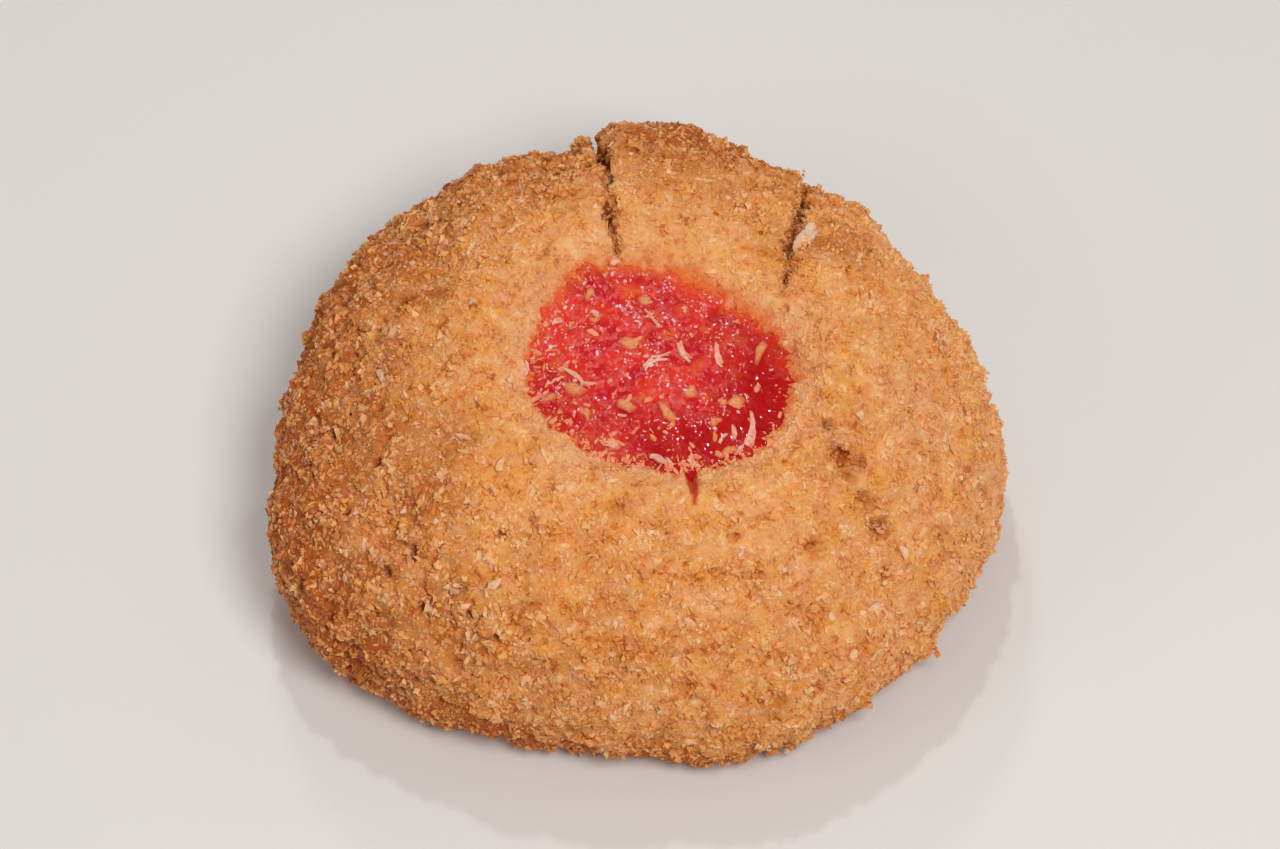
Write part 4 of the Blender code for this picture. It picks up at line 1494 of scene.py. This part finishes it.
# Crumbs of the crust: form, number, lowest and highest length, width and thickness in mm, tilt, and range of tone
CRUMBS = (
    ("crumb_heaps", BLUNT, 10800, ((0.3, 0.7), (0.24, 0.48), (0.15, 0.32)), 0.7, 0.45, 1.05),
    ("crumb_grains", BLUNT, 18000, ((0.3, 0.7), (0.22, 0.5), (0.16, 0.32)), 0.5, 0.36, 0.85),
    ("crumb_sand", BLUNT, 24500, ((0.2, 0.42), (0.16, 0.34), (0.12, 0.26)), 0.9, 0.36, 0.88),
    ("crumb_slivers", BLUNT, 20000, ((0.4, 0.85), (0.15, 0.3), (0.11, 0.22)), 0.35, 0.42, 0.95),
    ("crumb_flakes", PLATE, 2600, ((0.5, 1.0), (0.35, 0.65), (0.1, 0.18)), 0.35, 0.45, 0.95),
)
HEAP = 8  # crumbs in each heap
HEAPS_THIN = (0.05, 4.0 * MM, 11.0 * MM)  # how thin heaps lie by the thumbprint, and where that starts and ends


def dress(piece, material, node, slot):
    piece.data.materials.clear()
    piece.data.materials.append(material)
    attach(piece, "root")
    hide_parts(node)


def add_crust(shift):
    dough = make_dough(shift)
    dress(dough, dough_material(), *CRUST)
    hollow = face_values(dough.data, "hollow")
    ground = Ground(dough, crust_weight(shift, hollow))
    coarse_ground = Ground(dough, crust_weight(shift, hollow, *HEAPS_THIN))
    for index, (name, template, count, shape, tilt, low, high) in enumerate(CRUMBS):
        field, heap = (coarse_ground, HEAP) if name == "crumb_heaps" else (ground, 1)
        piece = make_bits(name, field, template, count, shape, shift, SEED + 11 + index, tilt, heap)
        dress(piece, crumb_material(name, low, high), *CRUST)
    lengths, widths = (0.8 * MM, 1.7 * MM), (0.18 * MM, 0.32 * MM)
    toasted = make_shreds("shreds_toasted", ground, 260, lengths, widths, 0.12 * MM, shift, SEED + 21, 0.25)
    dress(toasted, shred_material("toasted", GOLDEN, CREAM, 0.5, ORANGE, 0.8, 0.8), *CRUST)
    lengths, widths = (0.5 * MM, 1.1 * MM), (0.22 * MM, 0.4 * MM)
    pale = make_shreds("shreds_pale", ground, 70, lengths, widths, 0.12 * MM, shift, SEED + 22, 0.2)
    dress(pale, shred_material("pale", COCONUT, CREAM, 0.7, GOLDEN, 0.4, 0.6, 0.3 * MM), *CRUST)
    flakes = make_plates("flakes_pale", tree_of(dough), SEEN_FLAKES, 9, 0.28 * MM, shift, SEED + 34)
    dress(flakes, shred_material("flake_pale", COCONUT, CREAM, 0.8, GOLDEN, 0.4, 0.6, 0.3 * MM), *CRUST)
    return dough


def add_jam(dough, shift):
    jam = make_jam(shift)
    dress(jam, jam_material(), *JAM)
    tree = tree_of(dough, jam)
    ground = Ground(jam, jam_weight(shift))
    lengths, widths = (0.6 * MM, 1.3 * MM), (0.2 * MM, 0.36 * MM)
    shreds = make_shreds("jam_shreds", ground, 8, lengths, widths, 0.14 * MM, shift, SEED + 31, 0.2, tree)
    dress(shreds, shred_material("jam_shred", COCONUT, BLUSH, 0.5, PULP, grain=0.3 * MM), *JAM)
    chips = make_plates("jam_chips", tree, SEEN_CHIPS, 13, 0.01 * MM, shift, SEED + 32, rim=True)
    dress(chips, shred_material("jam_chip", CHIP, ORANGE, 0.6, BLUSH, grain=0.25 * MM, rim=0.8), *JAM)
    # Pale shiny grains where the jam glints: painted highlights
    glint_ground = Ground(jam, glint_weight(shift))
    painted_glints = make_grains(
        "jam_painted_glints", glint_ground, 420, (-1.8, 0.42), (0.1, 0.45), 1.6, 0.8, None, shift, SEED + 35
    )
    dress(painted_glints, painted_glint_material(), *JAM)
    crumbs = make_grains(
        "jam_crumbs", ground, 560, (-1.45, 0.45), (0.12, 0.55), 3.0, 0.5, (-0.2, 0.1), shift, SEED + 33
    )
    dress(crumbs, shred_material("jam_crumb", BLUSH, GOLDEN, 0.6, PULP, grain=0.35 * MM), *JAM)


def main():
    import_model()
    shift = frame_shift()
    add_stage()
    add_camera()
    add_jam(add_crust(shift), shift)


main()
